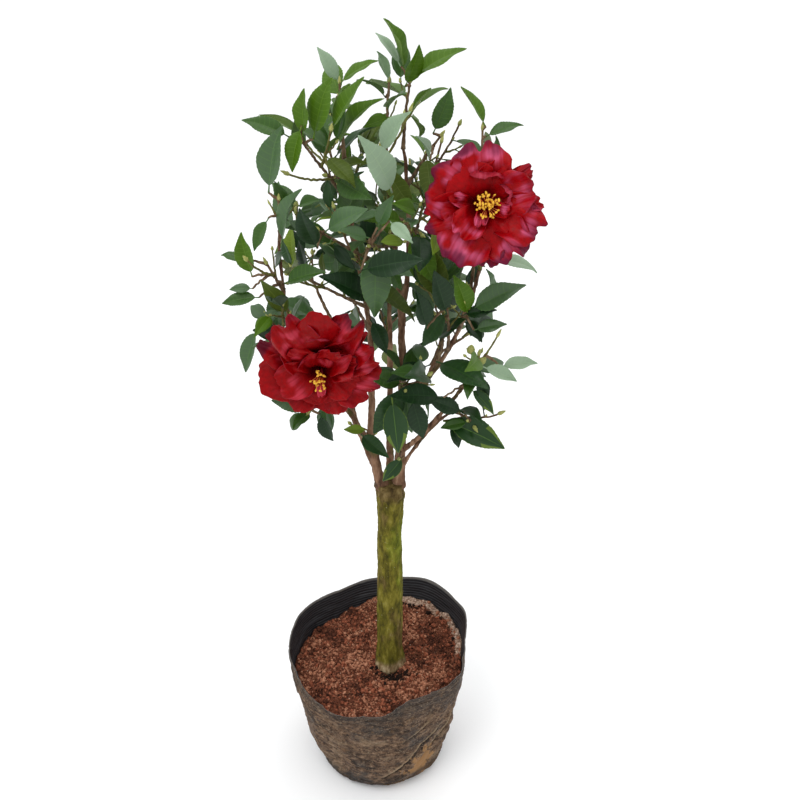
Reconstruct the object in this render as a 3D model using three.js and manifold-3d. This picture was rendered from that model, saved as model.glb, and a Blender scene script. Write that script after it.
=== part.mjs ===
// Camellia shrub on one clean trunk, potted in a soft grow bag.
// Millimetres, +Z up, origin in the middle of the bag's flat underside. The front is at -Y.

import * as THREE from 'three';
import { mergeVertices } from 'three/addons/utils/BufferGeometryUtils.js';
import Module from 'manifold-3d';

const wasm = await Module();
wasm.setup();

// Driving dimensions: the bag and its soil

const GAP = 0.3;                    // clearance between neighbours that touch
const BAG = {
  directions: 22,                   // facets round the bag
  wall: 2.0,
  rimRadius: 110,                   // before the rim is pulled out of round
  rimHeight: 165,
  creaseHeight: 100,                // the rim droops and rises above this height
  section: [[70, 0], [83, 8], [88, 20], [94, 50], [102, 100]],   // radius and height of the wall
};
// The soft rim, every 30 degrees from +X: its radius and its height
const RIM_RADII = [107, 122, 127, 119, 110, 118, 115, 108, 103, 98, 96, 108];
const RIM_HEIGHTS = [165, 173, 177, 173, 172, 168, 157, 142, 139, 142, 158, 160];
const SOIL = {
  top: 130,                         // level round the trunk
  edge: 127,                        // level at the wall in front
  bank: 19,                         // how far it is heaped up at the wall behind
  bankDirection: THREE.MathUtils.degToRad(60),
  flat: 26,                         // level patch under the trunk
};

// Driving dimensions: the trunk and the boughs

const TRUNK = {
  foot: [12, 6],
  head: [14, -4],
  top: 411,
  sides: 12,
  // share of the height and radius: root flare, clean stem, swollen head
  taper: [[0, 18.4], [0.03, 16.9], [0.09, 15.6], [0.35, 14.7], [0.74, 14.2], [0.89, 15.2], [0.955, 17.2],
    [0.985, 16.2], [1, 13]],
};
const BOUGH_FACET_LENGTH = 24;
// bough: what it leaves, where (a point, or its share along a parent), middle, tip, radii at foot and tip
const BOUGHS = {
  bough_left: ['trunk', [5, -7, 405], [0, -10, 440], [-8, -18, 476], 7.0, 5.2],
  bough_centre: ['trunk', [23, -4, 405], [31, -2, 515], [25, -12, 640], 6.6, 3.8],
  bough_back: ['trunk', [13, 5, 404], [16, 74, 500], [12, 92, 612], 4.6, 2.6],
  bough_back_left: ['bough_left', 0.25, [-32, 34, 470], [-50, 72, 572], 4.4, 2.6],
  bough_back_right: ['bough_centre', 0.3, [58, 50, 500], [78, 78, 576], 3.8, 2.6],
  bough_left_inner: ['bough_left', 0.97, [0, -4, 550], [-10, 5, 627], 4.2, 3.2],
  bough_left_bloom: ['bough_left', 0.9, [-34, -34, 530], [-62, -66, 588], 3.4, 2.2],
  bough_upper_left: ['bough_left_inner', 0.99, [-22, 0, 700], [-27, -8, 776], 2.9, 1.9],
  bough_left_up: ['bough_left_bloom', 0.6, [-92, -62, 610], [-86, -50, 712], 2.4, 1.7],
  bough_leader: ['bough_centre', 0.99, [17, -22, 710], [12, -20, 778], 3.2, 2.2],
  bough_top: ['bough_centre', 0.86, [40, 14, 690], [28, 10, 780], 3.0, 1.9],
  bough_right_bloom: ['bough_centre', 0.48, [82, -10, 562], [102, -30, 674], 3.4, 2.2],
  bough_right_low: ['bough_centre', 0.2, [52, -26, 484], [90, -52, 560], 3.2, 2.2],
  bough_right_thin: ['bough_centre', 0.08, [46, -8, 476], [80, -22, 512], 2.3, 1.6],
};

// Driving dimensions: the masses of foliage, grown by a seeded rule
// mass: its bough, share along it, tip of its stem, rise of that tip, leaves, side twigs, seed
const MASSES = {
  top: ['bough_top', 1, [34, 5, 842], 0.1, 2, 0, 1],
  top_left: ['bough_upper_left', 1, [-29, -12, 845], 0.1, 3, 0, 2],
  top_middle: ['bough_leader', 1, [15, 11, 841], 0.0, 4, 0, 3],
  upper_left: ['bough_upper_left', 0.7, [-62, -46, 802], 0.2, 4, 1, 4],
  above_right_bloom: ['bough_right_bloom', 0.8, [100, -18, 806], 0.2, 2, 0, 5],
  upper_right: ['bough_top', 0.8, [62, -20, 800], 0.2, 5, 0, 6],
  upper_front: ['bough_leader', 0.85, [8, -52, 798], 0.2, 6, 1, 7],
  upper_inner: ['bough_upper_left', 0.85, [-42, -36, 768], 0.2, 6, 1, 8],
  left: ['bough_left_up', 1, [-84, -58, 752], 0.1, 4, 0, 39],
  left_front: ['bough_leader', 0.2, [-48, -80, 732], 0.3, 6, 1, 10],
  far_left: ['bough_left_up', 0.75, [-98, -62, 692], 0.3, 4, 1, 41],
  left_low: ['bough_left_up', 0.35, [-98, -62, 634], 0.3, 6, 1, 12],
  middle_front: ['bough_leader', 0.4, [-2, -88, 720], 0.3, 5, 1, 13],
  middle_right: ['bough_leader', 0.65, [44, -64, 722], 0.3, 7, 1, 14],
  middle_left: ['bough_left_inner', 0.8, [-30, -64, 682], 0.3, 6, 1, 15],
  right_inner: ['bough_right_bloom', 0.5, [66, -72, 668], 0.3, 6, 1, 16],
  right: ['bough_right_bloom', 0.66, [86, -60, 650], 0.2, 3, 0, 47],
  right_low: ['bough_right_low', 1, [100, -78, 606], 0.2, 4, 1, 18],
  right_skirt: ['bough_right_thin', 1, [100, -56, 514], -0.1, 4, 1, 19],
  front_low: ['bough_centre', 0.58, [30, -74, 566], 0.1, 7, 1, 20],
  foot: ['bough_centre', 0.2, [24, -36, 462], 0.2, 1, 0, 21],
  left_foot: ['bough_left', 0.75, [-26, -42, 508], 0.0, 3, 0, 22],
  left_skirt: ['bough_left_bloom', 0.7, [-64, -80, 546], -0.3, 3, 0, 23],
  right_middle: ['bough_right_bloom', 0.36, [70, -28, 628], 0.2, 8, 1, 24],
  left_middle: ['bough_left_inner', 0.95, [-80, 16, 652], 0.3, 10, 1, 25],
  back_upper_left: ['bough_upper_left', 0.3, [-46, 62, 770], 0.3, 11, 2, 26],
  back_upper_right: ['bough_top', 0.4, [66, 62, 772], 0.3, 11, 2, 27],
  back_left: ['bough_back_left', 1, [-88, 74, 672], 0.3, 11, 2, 28],
  back_middle: ['bough_back', 1, [9, 104, 700], 0.3, 11, 2, 29],
  back_right: ['bough_back_right', 1, [98, 78, 668], 0.3, 11, 2, 30],
  back_low_left: ['bough_back_left', 0.55, [-88, 84, 552], 0.1, 10, 2, 31],
  back_low_right: ['bough_back_right', 0.7, [102, 84, 550], 0.1, 10, 2, 32],
  back_low: ['bough_back', 0.6, [8, 126, 548], 0.1, 10, 2, 33],
};
// open place, where the sky shows through the crown: x and height of its line of sight above the trunk's
// own plane, and the radius that leaves keep clear
const OPEN_PLACES = {
  by_peak: [-59, 863, 11],
  by_apex: [56, 854, 14],
  over_left: [-103, 797, 7],
  left_slit: [-84, 789, 6],
  left_slit_low: [-84, 770, 8],
  left_notch: [-78, 822, 5],
  upper_left: [-57, 770, 9],
  upper_left_low: [-70, 749, 9],
  left_edge: [-115, 743, 8],
  far_left: [-130, 721, 10],
  far_left_inner: [-115, 711, 8],
  left_inner: [-112, 670, 8],
  left_inner_low: [-103, 655, 7],
  above_bloom: [-42, 629, 12],
  above_bloom_left: [-60, 638, 8],
  small_left: [-71, 644, 6],
  by_leader: [-1, 757, 7],
  right_of_leader: [36, 782, 7],
  over_bloom: [62, 789, 10],
  over_bloom_right: [79, 806, 10],
  over_bloom_top: [89, 820, 6],
  beside_peak: [109, 833, 8],
  under_bloom: [101, 640, 6],
  right_upper: [134, 615, 9],
  right_tip: [150, 607, 9],
  right_middle: [129, 584, 12],
  right_low: [144, 520, 14],
  right_lower: [141, 495, 10],
  skirt_right: [118, 434, 16],
  skirt_middle: [75, 453, 10],
  skirt_left: [-83, 455, 15],
  left_foot: [-34, 455, 11],
  by_centre: [35, 590, 8],
  right_inner: [82, 579, 10],
  bloom_side: [-8, 514, 7],
  beyond_left: [-164, 655, 14],
  beyond_left_upper: [-145, 666, 6],
  bloom_right_top: [138, 788, 9],
  below_far_left: [-140, 616, 9],
  beyond_left_lower: [-156, 616, 14],
};
const SIGHT = { from: [25, -930, 1038.9], front: -160, back: 190, step: 9 };
const SHOOT = {
  stem: [1.8, 1.1],                 // radii at foot and tip
  twig: [1.3, 0.9],
  twigLength: 42,
  twigAngle: THREE.MathUtils.degToRad(43),
  twigLift: 0.25,                   // share of its length that a twig turns up
  turn: THREE.MathUtils.degToRad(137.5),
  bareFoot: 0.25,                   // share of a shoot with no leaf
  reach: 2.5,                       // a leading leaf nearer than this stands on the shoot itself
  facetLength: 32,
  sides: 3,
};
const NEAREST_STEPS = 20;
const LEAF = {
  length: 61,
  width: 0.43,                      // share of its length
  spacing: 13,                      // along a shoot
  thickness: 1.3,
  fold: 0.25,                       // how far its halves rise, over their width
  stations: [0.36, 0.7],            // sections between root and tip
  small: 56,                        // a leaf shorter than this has one section
  smallStations: [0.52],
  rootWidth: 2.4,                   // at the shoot's axis
  stalk: 0.12,                      // share of its length
  opening: [20, 65],                // degrees off the shoot, at its tip and lower down
  openingSpread: [-10, 12],
  sizeSpread: [0.66, 1.1],
  sag: [0, 0.8],                    // how far lower leaves hang
  droop: [0.06, 0.32],              // how far a leaf bends down, over its length
  tilt: [-0.6, 0.6],
  tries: 8,
  tryTurn: THREE.MathUtils.degToRad(53),
  tryOpen: THREE.MathUtils.degToRad(5),
  clear: 4.1,                       // half the clearance between two leaves
};

// Leading leaves, which shape the crown's outline and face the front; the rule fills in round them
// leaf: its mass, root, tip, and how far it bends down over its length
const LEADING_LEAVES = {
  apex: ['top', [30, 8, 850], [14, 4, 899], 0.1],
  apex_front: ['top', [30, 0, 840], [43, -12, 878], 0.18],
  apex_right: ['top', [35, 4, 842], [84, -4, 875], 0.34],
  apex_left: ['top', [26, 6, 856], [5, 14, 885], 0.1],
  under_apex: ['top', [34, 4, 814], [53, -4, 840], 0.1],
  peak_left: ['top_left', [-30, -12, 847], [-48, -14, 876], 0.22],
  peak_right: ['top_left', [-27, -12, 846], [5, -20, 866], 0.26],
  peak_low: ['top_left', [-32, -14, 833], [-19, -26, 847], 0.12],
  crown_left: ['top_left', [-33, -14, 786], [5, -36, 838], 0.3],
  middle_peak: ['top_middle', [15, 10, 841], [5, 4, 871], 0.12],
  middle_arch: ['top_middle', [12, 8, 828], [-13, -4, 848], 0.38],
  fork_tall: ['upper_left', [-52, -46, 804], [-37, -46, 857], 0.08],
  fork_short: ['upper_left', [-61, -48, 806], [-58, -50, 849], 0.08],
  fork_hanging: ['upper_left', [-61, -52, 817], [-72, -60, 779], 0.2],
  fork_outer: ['upper_left', [-73, -46, 806], [-113, -44, 822], 0.4],
  far_upper: ['left', [-93, -58, 759], [-82, -56, 818], 0.12],
  left_broad: ['left', [-84, -60, 712], [-65, -76, 766], 0.14],
  left_narrow: ['left', [-94, -62, 737], [-109, -66, 707], 0.16],
  centre_pale: ['upper_front', [7, -56, 796], [31, -74, 834], 0.14],
  centre_hanging: ['upper_front', [18, -60, 760], [-9, -92, 815], 0.3],
  oval: ['upper_right', [55, -20, 802], [72, -24, 842], 0.1],
  right_pale: ['upper_right', [52, -30, 781], [42, -46, 807], 0.14],
  right_peak: ['above_right_bloom', [103, -18, 808], [78, -16, 842], 0.16],
  right_low_peak: ['above_right_bloom', [103, -18, 799], [136, -20, 810], 0.3],
  under_bloom: ['above_right_bloom', [115, -34, 688], [157, -36, 674], 0.26],
  dark_left: ['left_front', [-49, -84, 716], [-64, -100, 757], 0.14],
  long_left: ['left_front', [-42, -82, 731], [-3, -96, 759], 0.22],
  grey_middle: ['middle_front', [-2, -92, 729], [-27, -106, 740], 0.14],
  upright_middle: ['middle_front', [5, -90, 738], [18, -96, 768], 0.1],
  triangle: ['middle_front', [16, -96, 746], [34, -116, 734], 0.12],
  broad_middle: ['middle_front', [-10, -94, 699], [45, -112, 720], 0.16],
  long_dark: ['middle_left', [1, -66, 658], [-48, -84, 687], 0.18],
  by_bloom: ['middle_left', [-3, -70, 640], [14, -78, 609], 0.18],
  bright_left: ['far_left', [-83, -64, 674], [-43, -78, 692], 0.26],
  oval_left: ['far_left', [-113, -62, 680], [-120, -62, 722], 0.1],
  low_left: ['far_left', [-107, -64, 660], [-143, -64, 655], 0.16],
  small_left: ['far_left', [-113, -62, 668], [-135, -62, 668], 0.24],
  thin_left: ['far_left', [-116, -56, 694], [-142, -52, 699], 0.1],
  bloom_left_upper: ['left_low', [-88, -60, 646], [-112, -66, 626], 0.22],
  bloom_left_lower: ['left_low', [-111, -64, 628], [-127, -68, 583], 0.14],
  below_bloom: ['left_skirt', [-54, -82, 544], [-42, -84, 512], 0.16],
  yellow_foot: ['left_foot', [-9, -46, 503], [-33, -50, 506], 0.16],
  inner_tall: ['right_inner', [69, -74, 647], [54, -86, 695], 0.12],
  inner_small: ['right_inner', [50, -78, 634], [41, -88, 677], 0.12],
  bright_fold: ['right', [90, -62, 640], [77, -68, 684], 0.14],
  right_arch: ['right', [92, -62, 646], [141, -66, 672], 0.3],
  right_flat: ['right', [85, -62, 641], [115, -70, 651], 0.2],
  right_lower: ['right', [96, -60, 624], [126, -64, 634], 0.22],
  inner_left: ['right_middle', [55, -42, 577], [14, -66, 570], 0.22],
  inner_right: ['right_middle', [61, -50, 585], [106, -102, 583], 0.2],
  grey_right: ['right_low', [104, -80, 595], [137, -86, 581], 0.16],
  tip_right: ['right_low', [121, -76, 593], [157, -76, 598], 0.14],
  folded_right: ['right_low', [93, -80, 571], [117, -88, 547], 0.28],
  dark_right: ['right_low', [99, -74, 584], [110, -78, 551], 0.14],
  dark_across: ['right_low', [68, -66, 553], [14, -84, 568], 0.22],
  skirt_right: ['right_skirt', [69, -52, 518], [134, -58, 492], 0.2],
  skirt_small: ['right_skirt', [76, -56, 518], [87, -62, 492], 0.14],
  skirt_upper: ['right_skirt', [89, -58, 532], [52, -70, 553], 0.18],
  hanging_low: ['front_low', [17, -80, 562], [23, -92, 503], 0.16],
  hanging_dark: ['front_low', [37, -76, 559], [46, -80, 513], 0.14],
  trunk_leaf: ['foot', [29, -36, 464], [7, -44, 437], 0.14],
};

// Driving dimensions: the two blooms. bloom: its bough, share, centre, the way it faces, radius
const BLOOMS = {
  bloom_right: ['bough_right_bloom', 1, [98, -85, 757], [-0.06, -0.93, 0.35], 56],
  bloom_left: ['bough_left_bloom', 1, [-48, -115, 616], [0, -0.98, 0.14], 58],
};
// reach is a share of the bloom's radius, the rest runs along the way it faces
const PETAL_RINGS = [
  { petals: 7, reach: 1, foot: -12, lift: 24, curl: 20, turn: 0.3 },
  { petals: 5, reach: 0.66, foot: -4, lift: 26, curl: 8, turn: 0.8 },
];
const BLOOM = {
  depth: 22,                        // from its centre back to its stalk
  stalk: 2.2,
  calyx: 9,
  heart: 15,
  heartTaper: [[0, 15], [0.6, 13.5], [1, 7.5]],
  petalThickness: 2.4,
  facetsPerPetal: 3,
  rows: [0.12, 0.6, 1],
  notch: 0.16,
  ruffle: 6,
};

// Vectors

const UP = new THREE.Vector3(0, 0, 1);
const LIGHT = new THREE.Vector3(0, -0.5, 0.8);      // leaves turn to the bright side
const REFERENCE = new THREE.Vector3(0.31, -0.9, 0.3);
const vector = (values) => new THREE.Vector3(...values);
const mix = (a, b, share) => a + (b - a) * share;

/** a + b * share, leaving both as they are */
const plus = (a, b, share = 1) => a.clone().addScaledVector(b, share);

/** A unit vector square to an axis, at an angle round it */
function around(axis, angle) {
  const side = axis.clone().cross(REFERENCE).normalize();
  const other = axis.clone().cross(side);
  return side.multiplyScalar(Math.cos(angle)).addScaledVector(other, Math.sin(angle));
}

// Curves of three points: foot, middle and tip

function pointOn({ foot, middle, tip }, t) {
  const point = foot.clone().multiplyScalar((1 - t) ** 2);
  return point.addScaledVector(middle, 2 * t * (1 - t)).addScaledVector(tip, t * t);
}

function headingOn({ foot, middle, tip }, t) {
  const heading = middle.clone().sub(foot).multiplyScalar(1 - t);
  return heading.addScaledVector(tip, t).addScaledVector(middle, -t).normalize();
}

const spanOf = ({ foot, tip }) => foot.distanceTo(tip);

// Solids

/** The solid inside a closed geometry */
function solidOf(geometry) {
  const bare = geometry.index ? geometry.toNonIndexed() : geometry.clone();
  bare.deleteAttribute('normal');
  bare.deleteAttribute('uv');
  const merged = mergeVertices(bare, 1e-3);
  return new wasm.Manifold(new wasm.Mesh({
    numProp: 3,
    vertProperties: new Float32Array(merged.attributes.position.array),
    triVerts: new Uint32Array(merged.index.array),
  }));
}

/** Its outer skin: the largest body, with no scraps and no sealed hollows */
function wholeBody(solid) {
  return solid.decompose().reduce((best, body) => (body.volume() > best.volume() ? body : best));
}

function geometryOf(solid) {
  const mesh = solid.getMesh();
  const geometry = new THREE.BufferGeometry();
  const positions = Float32Array.from(mesh.vertProperties);
  geometry.setAttribute('position', new THREE.BufferAttribute(positions, mesh.numProp));
  geometry.setIndex(Array.from(mesh.triVerts));
  geometry.computeVertexNormals();
  return geometry;
}

/** A round limb along a curve. taper lists shares of the curve and the radius there */
function limbSolid(curve, taper, sides, swell = 0) {
  const steps = taper.length - 1;
  const tube = new THREE.CylinderGeometry(1, 1, 1, sides, steps);
  const frames = [];
  let side = around(headingOn(curve, 0), 0);
  for (const [share, radius] of taper) {
    const heading = headingOn(curve, share);
    side = plus(side, heading, -side.dot(heading)).normalize();
    const other = heading.clone().cross(side);
    frames.push({ centre: pointOn(curve, share), side, other, radius: radius + swell });
  }
  frames[0].centre.addScaledVector(headingOn(curve, 0), -swell);
  frames[steps].centre.addScaledVector(headingOn(curve, 1), swell);
  const position = tube.attributes.position;
  for (let i = 0; i < position.count; i += 1) {
    const frame = frames[Math.round((position.getY(i) + 0.5) * steps)];
    const point = plus(frame.centre, frame.side, position.getX(i) * frame.radius);
    point.addScaledVector(frame.other, -position.getZ(i) * frame.radius);
    position.setXYZ(i, point.x, point.y, point.z);
  }
  return solidOf(tube);
}

/** Even taper between two radii */
function evenTaper(radii, steps) {
  return Array.from({ length: steps + 1 }, (_, i) => [i / steps, mix(...radii, i / steps)]);
}

/** A closed skin through rings of points, each ring with the same count, ending in a tip point if given */
function skinSolid(rings, tip) {
  const count = rings[0].length;
  const points = rings.flat();
  const faces = [];
  for (let r = 0; r + 1 < rings.length; r += 1) {
    for (let i = 0; i < count; i += 1) {
      const a = r * count + i;
      const b = r * count + (i + 1) % count;
      faces.push(a, b, b + count, a, b + count, a + count);
    }
  }
  for (let i = 1; i + 1 < count; i += 1) faces.push(0, i + 1, i);
  const last = (rings.length - 1) * count;
  if (tip) {
    points.push(tip);
    for (let i = 0; i < count; i += 1) faces.push(last + i, last + (i + 1) % count, points.length - 1);
  } else {
    for (let i = 1; i + 1 < count; i += 1) faces.push(last, last + i, last + i + 1);
  }
  const geometry = new THREE.BufferGeometry().setFromPoints(points);
  geometry.setIndex(faces);
  return solidOf(geometry);
}

// The bag and the soil

/** A value from a table round the circle, eased between its entries */
function roundTable(table, angle) {
  const place = THREE.MathUtils.euclideanModulo(angle / (2 * Math.PI), 1) * table.length;
  const step = Math.floor(place);
  const ease = THREE.MathUtils.smoothstep(place - step, 0, 1);
  return mix(table[step % table.length], table[(step + 1) % table.length], ease);
}

/** Pulls a point of the round bag to the soft bag's shape */
function softened(radius, height, angle) {
  const pull = radius * (roundTable(RIM_RADII, angle) / BAG.rimRadius - 1) * (height / BAG.rimHeight);
  const above = Math.max(0, height - BAG.creaseHeight) / (BAG.rimHeight - BAG.creaseHeight);
  const rise = above * (roundTable(RIM_HEIGHTS, angle) - BAG.rimHeight);
  return [radius + pull, height + rise];
}

/** The ring of a radius and height, which may each depend on the direction */
function ringAt(radiusAt, heightAt) {
  return Array.from({ length: BAG.directions }, (_, i) => {
    const angle = (i / BAG.directions) * 2 * Math.PI;
    const [radius, height] = softened(radiusAt(angle), heightAt(angle), angle);
    return new THREE.Vector3(radius * Math.cos(angle), radius * Math.sin(angle), height);
  });
}

/** The wall's radius at a height, from its section */
function wallRadius(height) {
  const rows = [...BAG.section, [BAG.rimRadius, BAG.rimHeight]];
  const next = Math.max(1, rows.findIndex(([, level]) => level >= height));
  const [[r0, z0], [r1, z1]] = [rows[next - 1], rows[next]];
  return mix(r0, r1, (height - z0) / (z1 - z0));
}

/** The open bag, with a wall as thick as asked */
function growBag(wall) {
  const outer = [...BAG.section, [BAG.rimRadius, BAG.rimHeight]];
  const inner = outer.slice(1).reverse().map(([radius, height]) => [radius - wall, height]);
  inner.push([outer[0][0] - wall, wall]);
  return skinSolid([...outer, ...inner].map(([radius, height]) => ringAt(() => radius, () => height)));
}

/** Height of the soil at the wall, before the bag's shape is softened */
function soilEdge(angle) {
  const heap = Math.max(0, Math.cos(angle - SOIL.bankDirection)) * SOIL.bank;
  const above = (SOIL.edge + heap - BAG.creaseHeight) / (roundTable(RIM_HEIGHTS, angle) - BAG.creaseHeight);
  return mix(BAG.creaseHeight, BAG.rimHeight, above);
}

function pottingSoil() {
  const inset = BAG.wall / 2;
  const rings = [ringAt(() => BAG.section[0][0] - inset, () => inset)];
  for (const [radius, height] of BAG.section.slice(1)) rings.push(ringAt(() => radius - inset, () => height));
  const edge = ringAt((angle) => wallRadius(soilEdge(angle)) - inset, soilEdge);
  rings.push(edge);
  const foot = new THREE.Vector3(...TRUNK.foot, SOIL.top);
  const patch = edge.map((point) => {
    const out = new THREE.Vector3(point.x - foot.x, point.y - foot.y, 0).setLength(SOIL.flat);
    return foot.clone().add(out);
  });
  rings.push(edge.map((point, i) => patch[i].clone().lerp(point, 0.5).setZ(mix(SOIL.top, point.z, 0.4))));
  rings.push(patch);
  return wholeBody(skinSolid(rings, foot).subtract(growBag(BAG.wall + GAP)));
}

// The trunk and the boughs

const trunkCurve = {
  foot: new THREE.Vector3(...TRUNK.foot, SOIL.top + GAP),
  middle: new THREE.Vector3((TRUNK.foot[0] + TRUNK.head[0]) / 2, TRUNK.foot[1], (SOIL.top + TRUNK.top) / 2),
  tip: new THREE.Vector3(...TRUNK.head, TRUNK.top),
};

/** Every limb so far: its curve, radii and the space it needs */
const limbs = new Map();

function addLimb(name, curve, taper, sides) {
  const solid = limbSolid(curve, taper, sides);
  const space = limbSolid(curve, taper, sides, GAP / Math.cos(Math.PI / sides));
  limbs.set(name, { curve, taper, solid, space });
}

/** What is left of a solid clear of all limbs made before it */
function clearOfLimbs(solid) {
  for (const { space } of limbs.values()) solid = solid.subtract(space);
  return wholeBody(solid);
}

function addBough(name, [parent, start, middle, tip, footRadius, tipRadius]) {
  const foot = Array.isArray(start) ? vector(start) : pointOn(limbs.get(parent).curve, start);
  const curve = { foot, middle: vector(middle), tip: vector(tip) };
  const sides = footRadius > 4 ? 7 : 6;
  const taper = evenTaper([footRadius, tipRadius], Math.ceil(spanOf(curve) / BOUGH_FACET_LENGTH));
  const before = new Map(limbs);
  addLimb(name, curve, taper, sides);
  const limb = limbs.get(name);
  for (const { space } of before.values()) limb.solid = limb.solid.subtract(space);
  limb.solid = wholeBody(limb.solid);
}

// The growth rule

/** Park and Miller's draws */
class Draws {
  constructor(seed) {
    this.state = seed * 7919 + 104729;
    this.next();
  }

  next() {
    this.state = (this.state * 48271) % 2147483647;
    return this.state / 2147483647;
  }

  between(low, high) {
    return mix(low, high, this.next());
  }
}

const WOOD_SAMPLES = { spacing: 6, shootFoot: 0.15, shootRadius: 1.6 };

/** Points that are taken, each with the radius that it keeps clear and its owner */
const taken = [];

function take(points, radius, owner) {
  for (const point of points) taken.push({ point, radius, owner });
}

function isFree(points, radius, owner) {
  return points.every((point) => taken.every((other) => (
    other.owner === owner || point.distanceTo(other.point) >= radius + other.radius)));
}

function samplesOn(curve, from) {
  const steps = Math.max(4, Math.ceil(spanOf(curve) / WOOD_SAMPLES.spacing));
  return Array.from({ length: steps + 1 }, (_, i) => pointOn(curve, mix(from, 1, i / steps)));
}

/** A point of a leaf: share along it, and across it from -1 to 1 */
function leafPoint(leaf, share, across) {
  const side = leaf.aim.clone().cross(leaf.face);
  const blade = Math.max(0, (share - LEAF.stalk) / (1 - LEAF.stalk));
  const half = leaf.size * LEAF.width * 0.5 * Math.sin(Math.PI * blade ** 0.8) ** 0.8;
  const point = plus(leaf.root, leaf.aim, leaf.size * share);
  point.addScaledVector(leaf.face, -leaf.size * leaf.droop * share * share);
  point.addScaledVector(leaf.face, half * Math.abs(across) * LEAF.fold);
  return point.addScaledVector(side, half * across);
}

// Where a leaf is tested for room: shares along it, and across it
const LEAF_SAMPLES = [0.15, 0.23, 0.31, 0.4, 0.49, 0.58, 0.67, 0.76, 0.85, 0.94, 1];
const ACROSS_SAMPLES = [-0.9, -0.45, 0, 0.45, 0.9];

function leafSamples(leaf) {
  return LEAF_SAMPLES.flatMap((share) => ACROSS_SAMPLES.map((across) => leafPoint(leaf, share, across)));
}

/** The shoots of a mass: its stem, then side twigs that turn up */
function growShoots(name, [bough, share, tip, rise, , twigs, seed]) {
  const draws = new Draws(seed);
  const parent = limbs.get(bough).curve;
  const foot = pointOn(parent, share);
  const end = vector(tip);
  const span = foot.distanceTo(end);
  const middle = foot.clone().add(end).multiplyScalar(0.5);
  middle.addScaledVector(headingOn(parent, share), 0.12 * span).addScaledVector(UP, -rise * 0.5 * span);
  const stem = { foot, middle, tip: end };
  const shoots = [{ curve: stem, radii: SHOOT.stem, owner: `${name} stem` }];
  const turn = draws.between(0, 2 * Math.PI);
  for (let k = 0; k < twigs; k += 1) {
    const place = twigs > 1 ? 0.5 + (0.3 * k) / (twigs - 1) : 0.6;
    const axis = headingOn(stem, place);
    const aim = axis.multiplyScalar(Math.cos(SHOOT.twigAngle));
    aim.addScaledVector(around(headingOn(stem, place), turn + k * SHOOT.turn), Math.sin(SHOOT.twigAngle));
    const length = draws.between(0.8, 1.2) * SHOOT.twigLength;
    const root = pointOn(stem, place);
    const twig = { foot: root, middle: plus(root, aim, length * 0.5), tip: plus(root, aim, length * 0.9) };
    twig.tip.addScaledVector(UP, length * SHOOT.twigLift);
    shoots.push({ curve: twig, radii: SHOOT.twig, owner: `${name} twig ${k}` });
  }
  return shoots;
}

/** Which way a leaf's upper side looks: to the light, outward and a little along its shoot */
function faceOf(root, aim, axis, tilt) {
  const outward = new THREE.Vector3(root.x - TRUNK.head[0], root.y - TRUNK.head[1], 0).normalize();
  const lift = plus(LIGHT, axis, 0.4).addScaledVector(outward, 0.4);
  const flat = plus(lift, aim, -lift.dot(aim)).normalize();
  return flat.clone().multiplyScalar(Math.cos(tilt)).addScaledVector(aim.clone().cross(flat), Math.sin(tilt));
}

/** The point of a mass's shoots that is nearest to a place */
function nearestOn(shoots, place) {
  let best = null;
  for (const shoot of shoots) {
    for (let i = 0; i <= NEAREST_STEPS; i += 1) {
      const point = pointOn(shoot.curve, i / NEAREST_STEPS);
      const distance = point.distanceTo(place);
      if (!best || distance < best.distance) best = { shoot, share: i / NEAREST_STEPS, point, distance };
    }
  }
  return best;
}

/** A leading leaf, and the short twig that brings it out from the nearest shoot if it stands clear of it */
function growLeading(shoots, [, rootAt, tipAt, droop]) {
  const near = nearestOn(shoots, vector(rootAt));
  const twigged = near.distance > SHOOT.reach;
  const root = twigged ? vector(rootAt) : near.point;
  const way = vector(tipAt).sub(root);
  const length = way.length();
  way.normalize();
  const axis = headingOn(near.shoot.curve, near.share);
  const face = faceOf(root, way, axis, 0);
  const leaf = {
    root, aim: plus(way, face, droop).normalize(), face: plus(face, way, -droop).normalize(),
    size: length / Math.hypot(1, droop), droop,
  };
  if (!twigged) return { leaf };
  const middle = near.point.clone().lerp(root, 0.5).addScaledVector(axis, near.distance * 0.15);
  return { leaf, twig: { foot: near.point, middle, tip: root }, owner: near.shoot.owner };
}

/** The leaves of one shoot, from its tip down, wherever there is room */
function growLeaves({ curve, owner }, count, draws) {
  const span = spanOf(curve);
  const turn = draws.between(0, 2 * Math.PI);
  const leaves = [];
  for (let k = 0; k < count; k += 1) {
    const place = 1 - ((k + 0.15) * LEAF.spacing) / span;
    if (place < SHOOT.bareFoot) break;
    const root = pointOn(curve, place);
    const axis = headingOn(curve, place);
    const size = LEAF.length * draws.between(...LEAF.sizeSpread);
    const sag = draws.between(...LEAF.sag) * Math.min(1, k / 2);
    const opening = mix(...LEAF.opening, Math.min(1, k / 2)) + draws.between(...LEAF.openingSpread);
    const droop = draws.between(...LEAF.droop);
    const tilt = draws.between(...LEAF.tilt);
    for (let attempt = 0; attempt < LEAF.tries; attempt += 1) {
      const open = THREE.MathUtils.degToRad(opening) + attempt * LEAF.tryOpen;
      const radial = around(axis, turn + k * SHOOT.turn + attempt * LEAF.tryTurn);
      const aim = axis.clone().multiplyScalar(Math.cos(open)).addScaledVector(radial, Math.sin(open));
      aim.addScaledVector(UP, -sag).normalize();
      const leaf = { root, aim, face: faceOf(root, aim, axis, tilt), size, droop };
      const samples = leafSamples(leaf);
      if (isFree(samples, LEAF.clear, owner)) {
        take(samples, LEAF.clear, 'leaf');
        leaves.push(leaf);
        break;
      }
    }
  }
  return leaves;
}

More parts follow.
